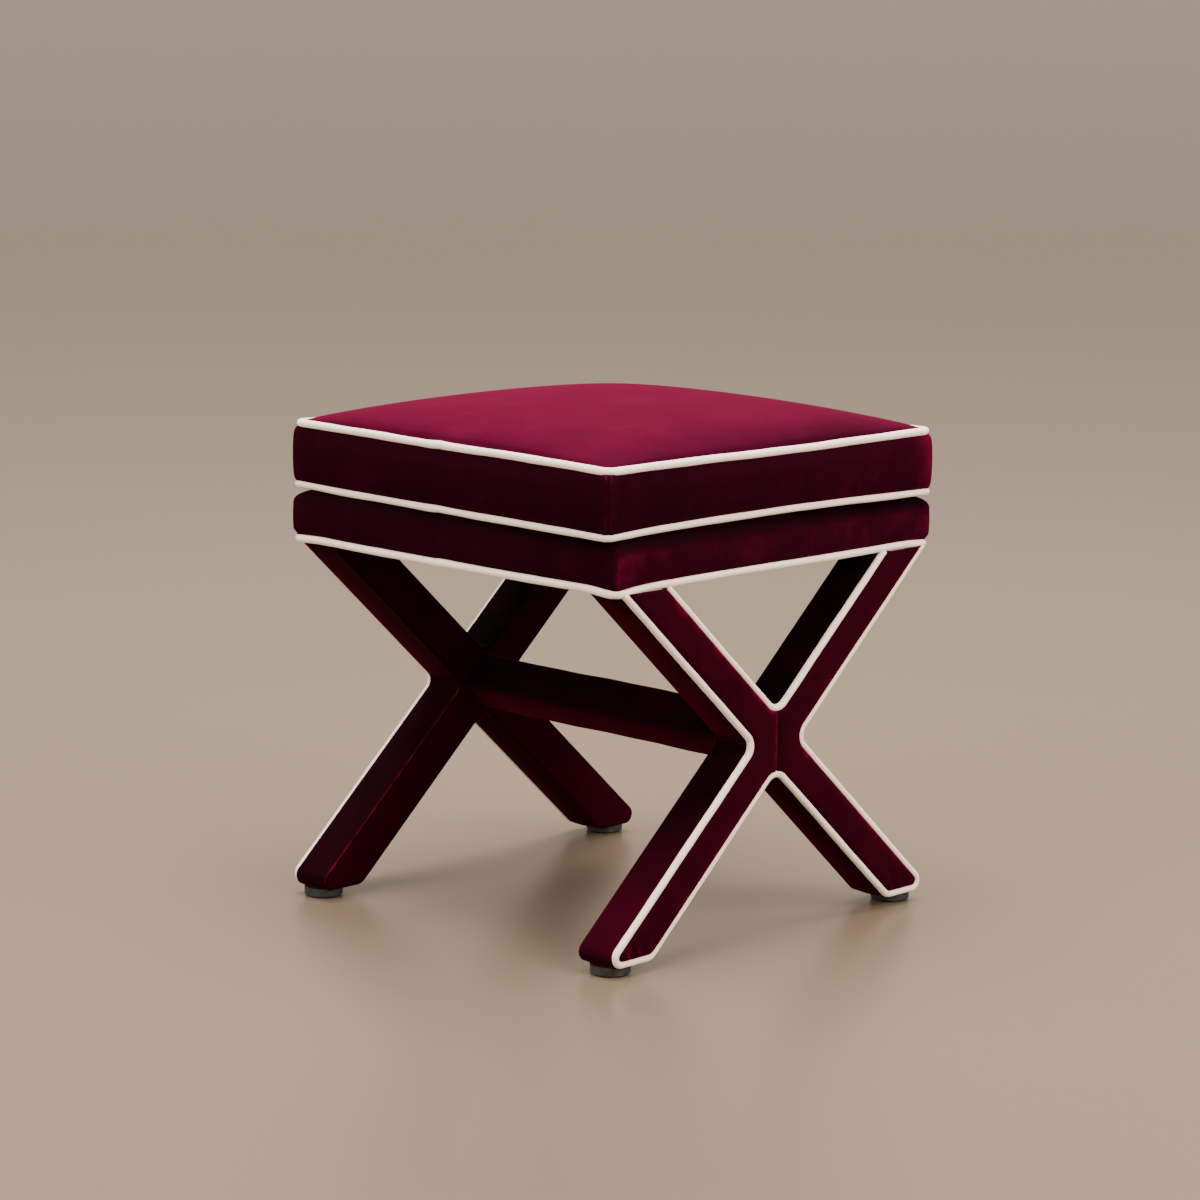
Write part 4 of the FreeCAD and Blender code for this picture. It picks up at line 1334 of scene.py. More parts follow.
            # Painted highlight on the gathers, along the rims and at the seam, with painted shade after it.
            painted_highlight = self.pucker_highlight * pucker + self.face_highlight(strip, on_seam)
            name = self.node(f"x_face_{word}")
            patches = [patch(self.placed(strip), painted_highlight)]
            panel = dressed(name, patches, Body.FRAME, Slot.VELVET, VELVET_LIT_FACES, (self.side.value, 0, 0))
            thicken(panel, self.velvet)

    def build_welt(self) -> None:
        """Piping round the outer face: a long cord round both feet and a short one in the V on top."""
        sole = self.outline.low + self.welt_radius
        x = self.face_x - self.welt_depth
        cords = []
        tucks = (0.0, self.left_v_tuck if self.side is Side.LEFT else 0.0)
        for path, tuck in zip(self.outline.around(self.welt_inset, sole, self.outline.high), tucks):
            normal = path_normals(path)
            along = lengths_along(path)
            path = path + normal * (waver(along, self.welt_sway) - tuck)[:, None]
            middle = np.column_stack([np.full(len(path), x), path])
            side = np.column_stack([np.zeros(len(path)), normal])
            lift = np.broadcast_to([1.0, 0.0, 0.0], middle.shape)
            radius = self.welt_radius - self.cord_thinner + waver(along, self.welt_swell)
            whole = cord(middle, side, lift, radius, closed=False)
            cords.append(whole._replace(points=self.placed(whole.points)))
        dressed(self.node("x_welt"), cords, Body.FRAME, Slot.WELT, PIPING)

    def build_padding(self) -> None:
        """Foam under the velvet: a thin closed layer a little inside the wrap and the face panels."""
        gap = self.pad_gap
        coat = self.fold(self.inner_x + gap, gap, 0, self.pad_step, gap)
        edge = self.pad_face_inset
        face_x = self.face_x - self.face_dip
        run = self.pad_step_run
        step = [(self.pad_step + run / 2, edge / 2), (self.pad_step + run, edge), (face_x, edge)]
        inner_inset = gap + self.fold_radius
        inner = self.strips(
            inner_inset, self.outline.low + inner_inset, self.inner_x + gap, -self.inner_pillow,
            self.inner_softness,
        )
        outer = self.strips(edge, self.outline.low + edge, face_x, gap, self.face_softness)
        faces = [patch(self.placed(strip)) for strip in (*inner, *outer)]
        patches = [*self.band(np.vstack([coat, step])), *faces]
        padding = dressed(self.node("x_padding"), patches, Body.FRAME, Slot.FOAM, FOAM)
        thicken(padding, self.pad_wall)


# Bar between the X frames.


@dataclass
class CrossBar:
    """Square bar on its edge, padded and covered with a velvet sleeve."""

    reach: float
    middle_z: float
    width: float = 43
    corner_radius: float = 5
    fullness: float = 0.9
    flare: float = 1.2
    flare_length: float = 7
    overlap: float = 0.6
    stations: int = 96
    per_side: int = 22
    density: float = 0.5
    sway: Waves = ((0.35, 210, 0.7), (0.2, 77, 2.0))
    # Painted highlight along the edges, and painted shade on the two upper sides.
    edge_highlight: float = 0.2
    edge_width: float = 3.0
    top_shade: float = 0.32
    shade_blend: float = 8.0
    pad_gap: float = 1.3
    pad_wall: float = 2.4

    def tube(self, shrink: float, reach: float, flare: float) -> Patch:
        """Closed tube: a rounded square, turned by an eighth, carried along X with its ends drawn to a point.

        The square's sides swell by the fullness, the tube widens by the flare towards both ends, and it sways
        a little along its length. A painted highlight runs along its edges, and painted shade darkens its two
        upper sides.

        Args:
            shrink: Distance of the surface inside the sleeve's.
            reach: Length of the tube each way from the middle.
            flare: How far it widens at the ends.

        Returns:
            The tube as one patch.
        """
        square = SquareLoop(
            self.width / 2, self.corner_radius, -self.fullness, self.per_side, self.density,
        ).at(shrink)
        eighth = math.sqrt(0.5)
        ring = square @ np.array([[eighth, eighth], [-eighth, eighth]])
        x = reach * np.sin(np.linspace(-1, 1, self.stations) * math.pi / 2)
        grow = 1 + flare / self.width * 2 * np.exp(-(reach - np.abs(x)) / self.flare_length)
        grow = np.concatenate([[0], grow, [0]])
        x = np.concatenate([x[:1], x, x[-1:]])
        sway = waver(x, self.sway)
        plane = grow[:, None, None] * ring[None] + np.array([0, self.middle_z]) + sway[:, None, None] * (0, 1)
        points = np.concatenate([np.broadcast_to(x[:, None, None], (*plane.shape[:2], 1)), plane], axis=-1)
        # Painted highlight along the edges and painted shade on the two upper sides.
        from_edge = np.abs(square).max(axis=-1) - np.abs(square).min(axis=-1)
        painted_highlight = self.edge_highlight * hump(from_edge, self.edge_width)
        above = smooth_step(0.5 + ring[:, 1] / self.shade_blend)
        return patch(points, painted_highlight[None], -self.top_shade * above[None])

    def build(self) -> None:
        """Makes the sleeve and the padding under it."""
        tube = self.tube(0, self.reach + self.overlap, self.flare)
        # The sleeve takes the base's copy of the velvet, whose lower sheen paints shade.
        sleeve = dressed("bar_sleeve", [tube], Body.FRAME, Slot.VELVET, VELVET_BASE)
        tube = self.tube(self.pad_gap, self.reach, 0)
        patches = [Patch(*(rows[1:-1] for rows in tube))]
        padding = dressed("bar_padding", patches, Body.FRAME, Slot.FOAM, FOAM)
        thicken(padding, self.pad_wall)


# Base under the cushion.


@dataclass
class SeatBase:
    """Padded base: velvet cover turned in under the rails, padding, piping and a dust cover underneath."""

    half: float
    underside: float
    top: float
    dust_half: float
    welt_radius: float
    velvet: float = 1.0
    # Cover: hem under the rails, tuck behind the piping, wall, rounded top edge and seams on the corners.
    per_side: int = 76
    density: float = 0.8
    corner_points: int = 24
    corner_radius: float = 6.0
    hem_gap: float = 0.3
    hem_overlap: float = 3.0
    hem_end: float = 7.0
    hem_points: int = 6
    tuck_insets: tuple[float, ...] = (4.5, 3.2, 3.0, 1.4, 0.4)
    tuck_rises: tuple[float, ...] = (0.0, 1.5, 5.5, 8.2, 10.0)
    wall_bulge: float = 0.4
    wall_points: int = 12
    edge_run: float = 20.0
    edge_drop: float = 13.0
    edge_points: int = 12
    corner_run: float = 6.0
    corner_spread: float = 26.0
    top_points: int = 10
    seam_depth: float = 0.9
    seam_width: float = 1.7
    # Painted highlight at the corners, painted light on the right panel and painted shade under the cushion.
    seam_highlight: float = 0.5
    corner_highlight: float = 0.15
    right_glow: float = 0.16
    end_glow: float = 0.07
    end_width: float = 60.0
    top_shade: float = 0.35
    shade_lead: float = 3.0
    # Piping.
    welt_inset: float = 3.4
    welt_corner: float = 14.0
    welt_dip: float = 3.2
    dip_spread: float = 26.0
    dip_swing: float = 0.25
    dip_waves: Waves = ((0.5, 5, 0.6),)
    welt_swell: Waves = ((0.1, 17, 0.0), (0.06, 43, 1.0))
    front_sag: float = 3.0
    front_normal: float = -0.9
    lap_at: float = -11.0
    # Dust cover.
    dust_gap: float = 0.8
    dust_sag: float = 1.5
    dust_thickness: float = 0.6
    dust_points: int = 41
    # Padding.
    pad_gap: float = 1.3
    pad_wall: float = 3.0

    def outline(self, corner: float) -> SquareLoop:
        """Outline of the base, seen from above, with corners of a radius."""
        return SquareLoop(self.half, corner, 0.0, self.per_side, self.density, self.corner_points)

    def shell(self, shrink: float) -> Patch:
        """Cover as a profile carried round the base, shrunk towards the middle by the profile's inset.

        The profile comes in under the rails, turns up behind the piping, rises as a slightly full wall,
        rounds over the top edge by a quarter of an ellipse and runs flat to the middle. The ellipse grows
        towards the corners, and a fine groove marks the seam on each of them. Painted shade darkens the cover
        where the cushion lies over it, a painted highlight marks the corners, and painted light brightens the
        right panel, most of all at its back end.

        Args:
            shrink: Distance of the surface inside the cover's.

        Returns:
            The shell as one patch, open below.
        """
        outline = self.outline(self.corner_radius)
        near = outline.corner_distance()[:, None]
        run = self.edge_run + self.corner_run * hump(near, self.corner_spread)
        groove = self.seam_depth * hump(near, self.seam_width)
        low, top = self.underside + self.hem_gap + shrink, self.top - shrink
        wall_low, wall_high = low + self.tuck_rises[-1], top - self.edge_drop
        hem = np.linspace(self.half - self.dust_half + self.hem_overlap, self.hem_end, self.hem_points)
        share = np.linspace(0, 1, self.wall_points + 1)[1:]
        turn = np.linspace(0, math.pi / 2, self.edge_points + 1)[1:]
        insets = (
            hem,
            np.array(self.tuck_insets),
            -self.wall_bulge * np.sin(math.pi * share) + groove,
            run * (1 - np.cos(turn)) + groove * np.cos(turn),
        )
        levels = (
            np.full(hem.shape, low),
            low + np.array(self.tuck_rises),
            wall_low + share * (wall_high - wall_low),
            wall_high + self.edge_drop * np.sin(turn),
            np.full(self.top_points, top),
        )
        scale = 1 - (np.hstack([rows + 0 * near for rows in insets]) + shrink) / self.half
        inwards = np.linspace(1, 0, self.top_points + 1)[1:]
        scale = np.hstack([scale, scale[:, -1:] * inwards])
        z = np.concatenate(levels) + 0 * near
        plane = outline.at(0)[:, None] * scale[..., None]
        # Painted shade where the cushion lies over the cover, painted highlight on the corners and painted
        # light on the right panel.
        deep_painted_shade = smooth_step((z - wall_high + self.shade_lead) / self.edge_drop)
        right = plane[..., 0] > np.abs(plane[..., 1])
        corner = self.seam_highlight * hump(near, 2 * self.seam_width)
        corner = corner + self.corner_highlight * hump(near, self.corner_spread)
        glow = self.right_glow + self.end_glow * hump(self.half - plane[..., 1], self.end_width)
        nap_and_painted_shading = glow * right * (1 - deep_painted_shade) - self.top_shade * deep_painted_shade
        return patch(np.concatenate([plane, z[..., None]], axis=-1), corner * (1 - deep_painted_shade), nap_and_painted_shading)

    def build(self) -> None:
        """Makes every piece of the base."""
        # The cover takes the copy of the velvet with less sheen, which paints shade on its edge under the
        # cushion.
        cover = dressed("base_cover", [self.shell(0)], Body.FRAME, Slot.VELVET, VELVET_BASE, UP)
        thicken(cover, self.velvet)
        patches = [self.shell(self.pad_gap)]
        padding = dressed("base_padding", patches, Body.FRAME, Slot.FOAM, FOAM, UP)
        thicken(padding, self.pad_wall)
        self.build_welt()
        self.build_dust_cover()

    def build_welt(self) -> None:
        """Piping round the lower edge, which dips at the legs and sags a little along the front.

        The dip is a bell at each corner, deepest at the front one on the right, and the sag is
        front_sag (1 - (x / half)^2).
        """
        outline = self.outline(self.welt_corner)
        path = outline.at(self.welt_inset)
        normal = loop_normals(path)
        length = lengths_along(path)
        turn = 2 * math.pi * length / length[-1]
        swing = 1 - self.dip_swing + self.dip_swing * np.sin(turn)
        dip = self.welt_dip * hump(outline.corner_distance(), self.dip_spread) * swing
        on_front = normal[:, 1] < self.front_normal
        sag = self.front_sag * (1 - np.square(path[:, 0] / self.half)) * on_front
        swell, slant = lap_join(path, self.lap_at)
        level = self.underside + self.welt_radius - dip - ripple(turn, self.dip_waves) - sag + slant
        radius = self.welt_radius + ripple(turn, self.welt_swell) + swell
        patches = [level_cord(np.column_stack([path, level]), normal, radius)]
        dressed("base_welt", patches, Body.FRAME, Slot.WELT, PIPING)

    def build_dust_cover(self) -> None:
        """Thin black cloth under the rails: a flat square that sags by (1 - a^2)(1 - b^2) of the sag."""
        way = np.linspace(-1, 1, self.dust_points)
        a, b = np.meshgrid(way, way, indexing="ij")
        z = self.underside + self.dust_gap - self.dust_sag * (1 - a * a) * (1 - b * b)
        points = np.stack([a * self.dust_half, b * self.dust_half, z], axis=-1)
        sheet = dressed("dust_cover", [patch(points)], Body.FRAME, Slot.CAMBRIC, CAMBRIC, DOWN)
        thicken(sheet, self.dust_thickness)


# Loose cushion.


@dataclass
class Cushion:
    """Loose box cushion: foam, wadding, a crowned top panel, boxing, a flat bottom panel and two pipings."""

    half: float
    low: float
    low_seam: float
    seam: float
    crown: float
    welt_radius: float
    velvet: float = 1.0
    # Cover: outline, seams, crown of the top panel, boxing and bottom panel.
    per_side: int = 64
    density: float = 0.62
    corner_radius: float = 5.0
    draw_in: float = 2.5
    top_corner: float = 14.0
    bottom_corner: float = 9.0
    seam_inset: float = 6.0
    crown_power: float = 0.35
    heights: int = 15
    height_density: float = 0.6
    boxing_bulge: float = 1.2
    tuck_softness: float = 2.4
    corner_softness: float = 3.0
    groove_depth: float = 1.0
    groove_width: float = 1.8
    gather_height: float = 0.7
    gather_reach: float = 16.0
    gather_waves: Waves = ((1.0, 9.0, 1.2),)
    bottom_gap: float = 0.4
    turn_up_run: float = 3.0
    # Cloth simulation.
    sim_frames: int = 20
    pressure: float = 2.0
    swell_cap: float = 2.0
    sink_cap: float = 0.6
    ease_passes: int = 40
    # How the cushion lies on the base.
    twist: float = -1.5
    front_bow: float = -2.8
    right_bow: float = 2.2
    right_bow_top: float = -2.0
    bow_fade: float = 0.6
    front_reach: float = 0.1
    right_reach: float = 0.2
    corner_droop: float = -2.0
    droop_spread: float = 70.0
    # Painted highlight lines beside the boxing's corners, each with its strength, its distance from a corner
    # and its width.
    corner_lines: tuple[tuple[float, float, float], ...] = ((0.8, 2.5, 1.5), (0.4, 8.0, 3.0))
    middle_highlight: float = 0.35
    # Painted shade on the seat towards its right back corner and its right edge, and painted light on the
    # boxing's right panel.
    far_shade: float = 0.14
    far_from: float = -0.3
    edge_shade: float = 0.12
    edge_width: float = 45.0
    right_glow: float = 0.1
    front_share: float = 0.3
    end_glow: float = 0.22
    end_width: float = 26.0
    # Piping.
    welt_inset: float = 4.2
    welt_sway: Waves = ((0.28, 7, 0.0), (0.14, 19, 0.0))
    welt_swell: Waves = ((0.1, 17, 0.0), (0.06, 43, 0.0))
    bottom_start: float = 1.3
    lap_at: float = -21.0
    # Filling.
    pad_gap: float = 1.6
    pad_wall: float = 3.0
    foam_inset: float = 11.25
    foam_crown: float = 0.5

    def outline(self, tightness: float = 0.0, corner: float = 0.0) -> SquareLoop:
        """Outline of the cushion, seen from above, with its sides drawn in between the corners.

        Args:
            tightness: From 0 for the boxing's own corners to 1 for the rounder ones that the piping pulls.
            corner: Radius of those rounder corners.

        Returns:
            The outline.
        """
        radius = self.corner_radius + tightness * (corner - self.corner_radius)
        return SquareLoop(self.half, radius, self.draw_in, self.per_side, self.density)

    def cover(self, shrink: float) -> list[np.ndarray]:
        """Sewn cover as three grids that share its two seams: top panel, boxing and bottom panel.

        The top rises over its seam by crown ((1 - a^2)(1 - b^2))^power, where a and b go from -1 to 1 across
        it. The boxing is the outline carried up, tucked in at both seams and slightly full between, with a
        groove on each corner and gathers beside it near the seams. The bottom is flat and turns up at its
        seam.

        Args:
            shrink: Distance of the surface inside the cover's.

        Returns:
            Points of the three grids.
        """
        outline = self.outline()
        corners = (self.bottom_corner, self.top_corner)
        low_plane, plane = (
            spanned(self.outline(1.0, corner).at(self.seam_inset + shrink)) for corner in corners
        )
        way = 2 * outline.shares() - 1
        a, b = way[:, None], way[None, :]
        arch = np.clip((1 - a * a) * (1 - b * b), 0, None) ** self.crown_power
        top_z = self.seam - shrink + self.crown * arch
        top = np.concatenate([plane, top_z[..., None]], axis=-1)

        share = dense_ends(self.heights, self.height_density)
        z = self.low_seam + shrink + share * (self.seam - self.low_seam - 2 * shrink)
        from_seam = np.minimum(z - z[0], z[-1] - z)
        ease = 1 - np.exp(-from_seam / self.tuck_softness)
        inset = self.seam_inset * np.exp(-from_seam / self.tuck_softness)
        inset -= self.boxing_bulge * np.sin(math.pi * share) * ease
        tight = np.exp(-from_seam / self.corner_softness)
        pulls = zip(tight, np.where(share < 0.5, *corners), inset)
        loops = [self.outline(pull, corner).at(step + shrink) for pull, corner, step in pulls]
        rings = np.stack(loops, axis=1)
        near = outline.corner_distance()[:, None]
        groove = self.groove_depth * hump(near, self.groove_width)
        gather = self.gather_height * np.exp(-near / self.gather_reach) * waver(near, self.gather_waves)
        dent = groove * ease + gather * np.square(2 * share - 1) * ease
        rings = rings * (1 - dent / self.half)[..., None]
        boxing = np.concatenate([rings, np.broadcast_to(z[None, :, None], (*rings.shape[:2], 1))], axis=-1)

        edge_a, edge_b = (np.exp(-(1 - np.abs(step)) * self.half / self.turn_up_run) for step in (a, b))
        turn_up = np.clip(edge_a + edge_b - edge_a * edge_b, 0, 1)
        flat = self.low + self.bottom_gap
        bottom_z = flat + shrink + (self.low_seam - self.low - self.bottom_gap) * turn_up
        bottom = np.concatenate([low_plane, bottom_z[..., None]], axis=-1)
        return [top, boxing, bottom]

    def plumped(self, grids: list[np.ndarray]) -> list[np.ndarray]:
        """Cover after a cloth simulation that blows it up between its seams, which the piping holds.

        No point moves out further than the swell cap or in further than the sink cap, and the top panel is
        stretched taut afterwards, because it shows no wrinkle.

        Args:
            grids: Top panel, boxing and bottom panel as cut.

        Returns:
            The same grids with every point where the cloth comes to rest.
        """
        cut = np.vstack([grid.reshape(-1, 3) for grid in grids])
        keys = np.round(cut / WELD_MM).astype(np.int64)
        _, first, joined = np.unique(keys, axis=0, return_index=True, return_inverse=True)
        joined = joined.ravel()
        cloth_points = cut[first]
        quads = joined[joined_quads([patch(grid) for grid in grids])]
        held = np.ones(len(cloth_points), bool)
        sizes = [grid.shape[0] * grid.shape[1] for grid in grids]
        inside_top = np.zeros(grids[0].shape[:2], bool)
        inside_top[1:-1, 1:-1] = True
        inside_box = np.zeros(grids[1].shape[:2], bool)
        inside_box[:, 1:-1] = True
        free = np.concatenate([inside_top.ravel(), inside_box.ravel(), np.zeros(sizes[2], bool)])
        held[joined[free]] = False
        rested = self.simulate(cloth_points, quads, np.flatnonzero(held))

        centre = np.array([0, 0, (self.low_seam + self.seam) / 2])
        outwards = cloth_points - centre
        outwards /= np.linalg.norm(outwards, axis=-1, keepdims=True)
        move = rested - cloth_points
        length = np.maximum(np.linalg.norm(move, axis=-1, keepdims=True), NO_MOVE_MM)
        cap = np.where((move * outwards).sum(-1, keepdims=True) > 0, self.swell_cap, self.sink_cap)
        move *= np.minimum(1, cap / length)
        parts = np.split(move[joined], np.cumsum(sizes)[:-1])
        moves = [part.reshape(grid.shape) for part, grid in zip(parts, grids)]
        moves[0] = self.eased(moves[0])
        return [grid + step for grid, step in zip(grids, moves)]

    def eased(self, move: np.ndarray) -> np.ndarray:
        """Move of a panel stretched taut: each inner point takes its neighbours' mean, many times over.

        Args:
            move: Move of each point of the panel.

        Returns:
            The moves evened out, with none at the edges.
        """
        for _ in range(self.ease_passes):
            mean = (move[:-2, 1:-1] + move[2:, 1:-1] + move[1:-1, :-2] + move[1:-1, 2:]) / 4
            move = np.pad(mean, ((1, 1), (1, 1), (0, 0)))
        return move

    def simulate(self, points: np.ndarray, quads: np.ndarray, held: np.ndarray) -> np.ndarray:
        """Runs the cloth and gives its points at the last frame.

        Args:
            points: Points of the sewn cover, in millimetres.
            quads: Corner numbers of its faces.
            held: Numbers of the points that don't move.

        Returns:
            Points at rest, in millimetres.
        """
        mesh = bpy.data.meshes.new("cover_cloth")
        fill_mesh(mesh, points, quads)
        cloth = bpy.data.objects.new("cover_cloth", mesh)
        scene = bpy.context.scene
        scene.collection.objects.link(cloth)
        cloth.vertex_groups.new(name="seams").add(held.tolist(), 1.0, "REPLACE")
        modifier = cloth.modifiers.new("cloth", "CLOTH")
        modifier.collision_settings.use_collision = False
        modifier.point_cache.frame_end = self.sim_frames
        stuff = {
            "quality": 6, "mass": 0.2, "tension_stiffness": 30, "compression_stiffness": 30,
            "shear_stiffness": 12, "bending_stiffness": 1.5, "vertex_group_mass": "seams",
            "use_pressure": True, "uniform_pressure_force": self.pressure,
        }
        for name, value in stuff.items():
            setattr(modifier.settings, name, value)
        modifier.settings.effector_weights.gravity = 0
        for number in range(1, self.sim_frames + 1):
            scene.frame_set(number)
        rested = cloth.evaluated_get(bpy.context.evaluated_depsgraph_get()).to_mesh()
        places = np.empty(len(points) * 3, np.float32)
        rested.vertices.foreach_get("co", places)
        bpy.data.objects.remove(cloth)
        bpy.data.meshes.remove(mesh)
        scene.frame_set(1)
        return places.reshape(-1, 3).astype(float) / MM

    def near_edge(self, distance: np.ndarray, reach: float) -> np.ndarray:
        """Rise from 0 to 1 over the outer share of the half width, at a distance from the middle."""
        return smooth_step((distance - (1 - reach) * self.half) / (reach * self.half))

    def lie(self, points: np.ndarray) -> np.ndarray:
        """Cushion as it lies: a slight twist on the base, and edges that bow most at the bottom.

        The front edge sags and the right edge lifts by a bow of (1 - (t / half)^2), near that edge only, and
        the corner between them droops; this fades towards the top, where the right edge sags instead.

        Args:
            points: Points of a piece laid straight.

        Returns:
            The points where they lie.
        """
        x, y, z = np.moveaxis(points, -1, 0)
        height = np.clip((z - self.low) / (self.seam - self.low), 0, 1)
        fade = 1 - self.bow_fade * height
        near_front = self.near_edge(-y, self.front_reach)
        near_right = self.near_edge(x, self.right_reach)
        near_either = self.near_edge(np.maximum(x, -y), self.front_reach)
        from_corner = np.hypot(x - self.half, y + self.half)
        right_bow = self.right_bow + height * (self.right_bow_top - self.right_bow)
        bow = self.front_bow * fade * (1 - np.square(x / self.half)) * near_front
        bow += right_bow * (1 - np.square(y / self.half)) * near_right
        bow += self.corner_droop * fade * near_either * hump(from_corner, self.droop_spread)
        turn = math.radians(self.twist)
        turned_x = x * math.cos(turn) - y * math.sin(turn)
        turned_y = x * math.sin(turn) + y * math.cos(turn)
        return np.stack([turned_x, turned_y, z + bow], axis=-1)

    def build(self) -> None:
        """Makes every piece of the cushion and puts it on the cushion's body."""
        grids = self.cover(0)
        grids = self.plumped(grids)
        # The seat takes the lit copy of the velvet with painted shade, and the boxing painted highlights at
        # its corners and painted light on its right panel.
        panels = (
            ("cushion_top_panel", VELVET_LIT_SEAT, UP, 0.0, self.seat_painted_shade(grids[0])),
            ("cushion_boxing", VELVET, None, self.corner_highlight(), self.boxing_painted_light(grids[1])),
            ("cushion_bottom_panel", VELVET, DOWN, 0.0, 0.0),
        )
        for grid, (name, finish, facing, painted_highlight, nap_and_painted_shading) in zip(grids, panels):
            patches = [patch(self.lie(grid), painted_highlight, nap_and_painted_shading)]
            panel = dressed(name, patches, Body.CUSHION, Slot.VELVET, finish, facing)
            refine(panel)
            thicken(panel, self.velvet)
        self.build_welt("cushion_top_welt", self.seam, self.top_corner, 0.0)
        self.build_welt("cushion_bottom_welt", self.low_seam, self.bottom_corner, self.bottom_start)
        self.build_filling()

    def seat_painted_shade(self, grid: np.ndarray) -> np.ndarray:
        """Painted shade on the top panel, towards the right back corner and along the right edge.

        Args:
            grid: Points of the panel.

        Returns:
            Painted shade of each point, as a value below 0.
        """
        towards = (grid[..., 0] + grid[..., 1]) / (2 * self.half)
        far = self.far_shade * smooth_step((towards - self.far_from) / (1 - self.far_from))
        return -far - self.edge_shade * hump(self.half - grid[..., 0], self.edge_width)

    def boxing_painted_light(self, grid: np.ndarray) -> np.ndarray:
        """Painted light on the boxing's right panel, most of all at its back end.

        Args:
            grid: Points of the boxing.

        Returns:
            Painted light of each point.
        """
        back = smooth_step(0.5 + grid[..., 1] / self.half)
        glow = self.right_glow * (self.front_share + (1 - self.front_share) * back)
        end = self.end_glow * hump(self.half - grid[..., 1], self.end_width)
        return (glow + end) * (grid[..., 0] > np.abs(grid[..., 1]))

    def corner_highlight(self) -> np.ndarray:
        """Painted highlight of the boxing: lines beside each corner's seam, strongest near the two pipings.

        Returns:
            Painted highlight of each point.
        """
        near = self.outline().corner_distance()[:, None]
        height = dense_ends(self.heights, self.height_density)[None]
        ends = self.middle_highlight + (1 - self.middle_highlight) * np.square(2 * height - 1)
        lines = sum(strength * hump(near - place, width) for strength, place, width in self.corner_lines)
        return ends * lines

    def build_welt(self, name: str, level: float, corner: float, start: float) -> None:
        """Piping sewn in round one seam.

        Args:
            name: Name of the piece and of its node.
            level: Level of the cord's middle line.
            corner: Radius of the seam's corners.
            start: Where its slight unevenness begins, in radians.
        """
        path = self.outline(1.0, corner).at(self.welt_inset)
        length = lengths_along(path)
        turn = 2 * math.pi * length / length[-1] + start
        swell, slant = lap_join(path, self.lap_at)
        middle = np.column_stack([path, level + slant + ripple(turn, self.welt_sway)])
        radius = self.welt_radius + swell + ripple(turn, self.welt_swell)
        patches = [level_cord(self.lie(middle), loop_normals(path), radius)]
        dressed(name, patches, Body.CUSHION, Slot.WELT, PIPING)

    def build_filling(self) -> None:
        """Wadding as a coat inside the cover, and the foam block inside it."""
        coat = [patch(self.lie(grid)) for grid in self.cover(self.pad_gap)]
        wadding = dressed("cushion_wadding", coat, Body.CUSHION, Slot.WADDING, WADDING)
        thicken(wadding, self.pad_wall)
        crown = self.crown * self.foam_crown
        core = Cushion(self.half, self.low, self.low_seam, self.seam, crown, self.welt_radius)
        block = [patch(self.lie(grid)) for grid in core.cover(self.foam_inset / 2)]
        foam = dressed("cushion_foam", block, Body.CUSHION, Slot.FOAM, FOAM)


# Wood, metal and glides, which stay as the frame has them.

HARD_NODES = {
    BEECH_RISING: ("left_leg_falling", "right_leg_rising"),
    BEECH_FALLING: ("left_leg_rising", "right_leg_falling"),
    BEECH_ALONG_X: ("front_rail", "back_rail", "bar_core"),
    BEECH_ALONG_Y: ("left_rail", "right_rail", "corner_blocks"),
    BIRCH_PLY: ("seat_deck",),
    ZINC_STEEL: ("glide_screws", "bar_bolts", "bar_nuts", "rail_screws", "leg_coach_screws", "deck_screws"),
    NYLON: ("glide_left_front", "glide_left_back", "glide_right_front", "glide_right_back"),
}


def dress_hard_nodes() -> None:
    """Gives every node that stays its finish."""
    for finish, names in HARD_NODES.items():
        for name in names:
            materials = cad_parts[name].data.materials
            materials.clear()
            materials.append(finish.material())
            log.info("%s: %s", name, finish.name)


# Studio.


@dataclass(frozen=True)
class Softbox:
    """Large soft lamp aimed at the stool; lengths in metres."""

    name: str
    place: tuple[float, float, float]
    width: float
    watts: float
    colour: str = "#fff4e8"


@dataclass(frozen=True)
class MattFloor(Finish):
    """Plain pale floor: smooth matt paint with the faintest sheen and cloudiness."""

    light: str = "#6d6154"
    dark: str = "#6c6053"
    cloud_size: float = 900

    def surface(self, tree: bpy.types.NodeTree) -> bpy.types.Node:
        """Barely clouded colour under a satin surface.

        Args:
            tree: Empty tree of the material.

        Returns:
            The surface shader.
        """
        place = add_node(tree, "ShaderNodeTexCoord").outputs["Object"]
        clouds = add_node(tree, "ShaderNodeTexNoise", {
            "Vector": place, "Scale": noise_scale(self.cloud_size),
        })
        colour = add_node(tree, "ShaderNodeValToRGB", {"Fac": clouds.outputs["Fac"]}, steps=(
            (0.35, self.dark), (0.65, self.light),
        ))
        return add_node(tree, "ShaderNodeBsdfPrincipled", {
            "Base Color": colour.outputs["Color"], "Roughness": 0.3, "IOR": 1.45, "Specular IOR Level": 0.35,
        })


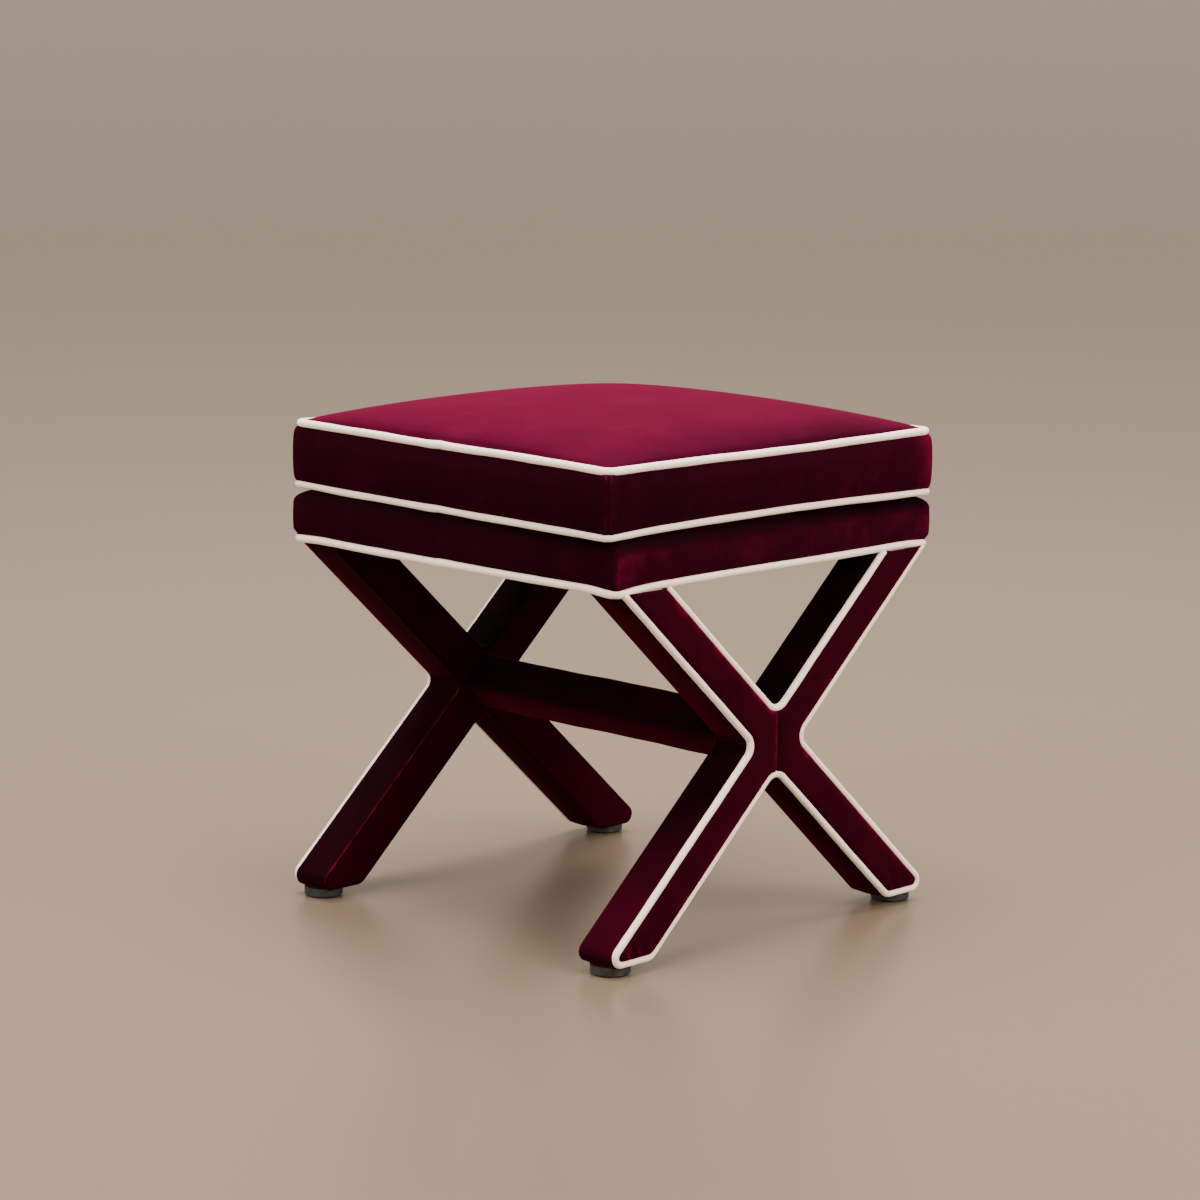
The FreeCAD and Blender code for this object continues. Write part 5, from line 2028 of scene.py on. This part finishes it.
@dataclass
class Studio:
    """Floor, soft light and the camera at the photograph's viewing angle; lengths in metres."""

    floor_half: float = 90.0
    floor_points: int = 9
    aim: tuple[float, float, float] = (0.0, 0.0, 0.25)
    azimuth: float = 44.18
    elevation: float = 10.07
    roll: float = 0.66
    distance: float = 3.9327
    offset_right: float = -0.01087
    offset_up: float = 0.06341
    focal_px: float = 3802.0
    image_px: int = 1200
    sensor_mm: float = 36.0
    world_colour: str = "#e0cebb"
    world_strength: float = 1.2
    lamps: tuple[Softbox, ...] = (
        Softbox("top_softbox", (-0.3, 0.3, 4.2), 3.8, 450),
        Softbox("right_softbox", (3.6, 0.6, 2.6), 2.2, 205),
        Softbox("front_softbox", (-0.6, -4.0, 2.9), 2.4, 180),
    )

    def build(self) -> None:
        """Puts up the floor, the light and the camera."""
        self.build_floor()
        self.build_light()
        self.build_camera()

    def build_floor(self) -> None:
        """Wide flat floor under the glides."""
        way = np.linspace(-1, 1, self.floor_points) * self.floor_half / MM
        x, y = np.meshgrid(way, way, indexing="ij")
        floor = make_shape("floor", [patch(np.stack([x, y, 0 * x], axis=-1))], UP)
        floor.data.materials.append(MattFloor("matt_floor_paint").material())

    def build_light(self) -> None:
        """Softboxes that face the stool, and a dim even surround."""
        for lamp in self.lamps:
            light = bpy.data.lights.new(lamp.name, "AREA")
            light.shape = "DISK"
            light.size = lamp.width
            light.energy = lamp.watts
            light.color = linear(lamp.colour)[:3]
            stand = bpy.data.objects.new(lamp.name, light)
            stand.location = lamp.place
            ray = Vector(self.aim) - Vector(lamp.place)
            stand.rotation_euler = ray.to_track_quat("-Z", "Y").to_euler()
            bpy.context.scene.collection.objects.link(stand)
        world = bpy.data.worlds.new("surround")
        world.use_nodes = True
        world.node_tree.nodes.clear()
        glow = add_node(world.node_tree, "ShaderNodeBackground", {
            "Color": linear(self.world_colour), "Strength": self.world_strength,
        })
        add_node(world.node_tree, "ShaderNodeOutputWorld", {"Surface": glow.outputs["Background"]})
        bpy.context.scene.world = world

    def build_camera(self) -> None:
        """Camera whose axes follow from the azimuth, the elevation and the roll."""
        a, e, r = (math.radians(angle) for angle in (self.azimuth, self.elevation, self.roll))
        back = Vector((math.sin(a) * math.cos(e), -math.cos(a) * math.cos(e), math.sin(e)))
        right = Vector((math.cos(a), math.sin(a), 0))
        up = back.cross(right)
        spot = Vector(self.aim) + back * self.distance + right * self.offset_right + up * self.offset_up
        level = (right * math.cos(r) + up * math.sin(r), up * math.cos(r) - right * math.sin(r), back)
        lens = bpy.data.cameras.new("camera")
        lens.sensor_width = self.sensor_mm
        lens.lens = self.focal_px / self.image_px * self.sensor_mm
        camera = bpy.data.objects.new("camera", lens)
        camera.matrix_world = Matrix.Translation(spot) @ Matrix(level).transposed().to_4x4()
        bpy.context.scene.collection.objects.link(camera)
        bpy.context.scene.camera = camera


def main() -> None:
    """Builds the stool's looks, from the floor up, and then the studio."""
    logging.basicConfig(level=logging.INFO, format="%(name)s: %(message)s")
    inner_x, face_x = low_corner("right_x_wrap")[0], high_corner("right_x_face_front")[0]
    underside, base_top = low_corner("dust_cover")[2], high_corner("base_cover")[2]
    half = high_corner("base_cover")[0]
    welt_low, welt_high = low_corner("base_welt")[2], high_corner("base_welt")[2]
    welt_radius = (welt_high - welt_low) / 2
    cushion_low = low_corner("cushion_bottom_panel")[2]
    seam = high_corner("cushion_top_welt")[2] - welt_radius
    crown = high_corner("cushion_top_panel")[2] - seam

    dress_hard_nodes()
    for side in Side:
        XFrame(side, inner_x, face_x, welt_radius).build()
    CrossBar(inner_x, XOutline().cross_z).build()
    SeatBase(half, underside, base_top, high_corner("dust_cover")[0], welt_radius).build()
    Cushion(half, cushion_low, cushion_low + welt_radius, seam, crown, welt_radius).build()
    Studio().build()


if __name__ == "__main__":
    main()
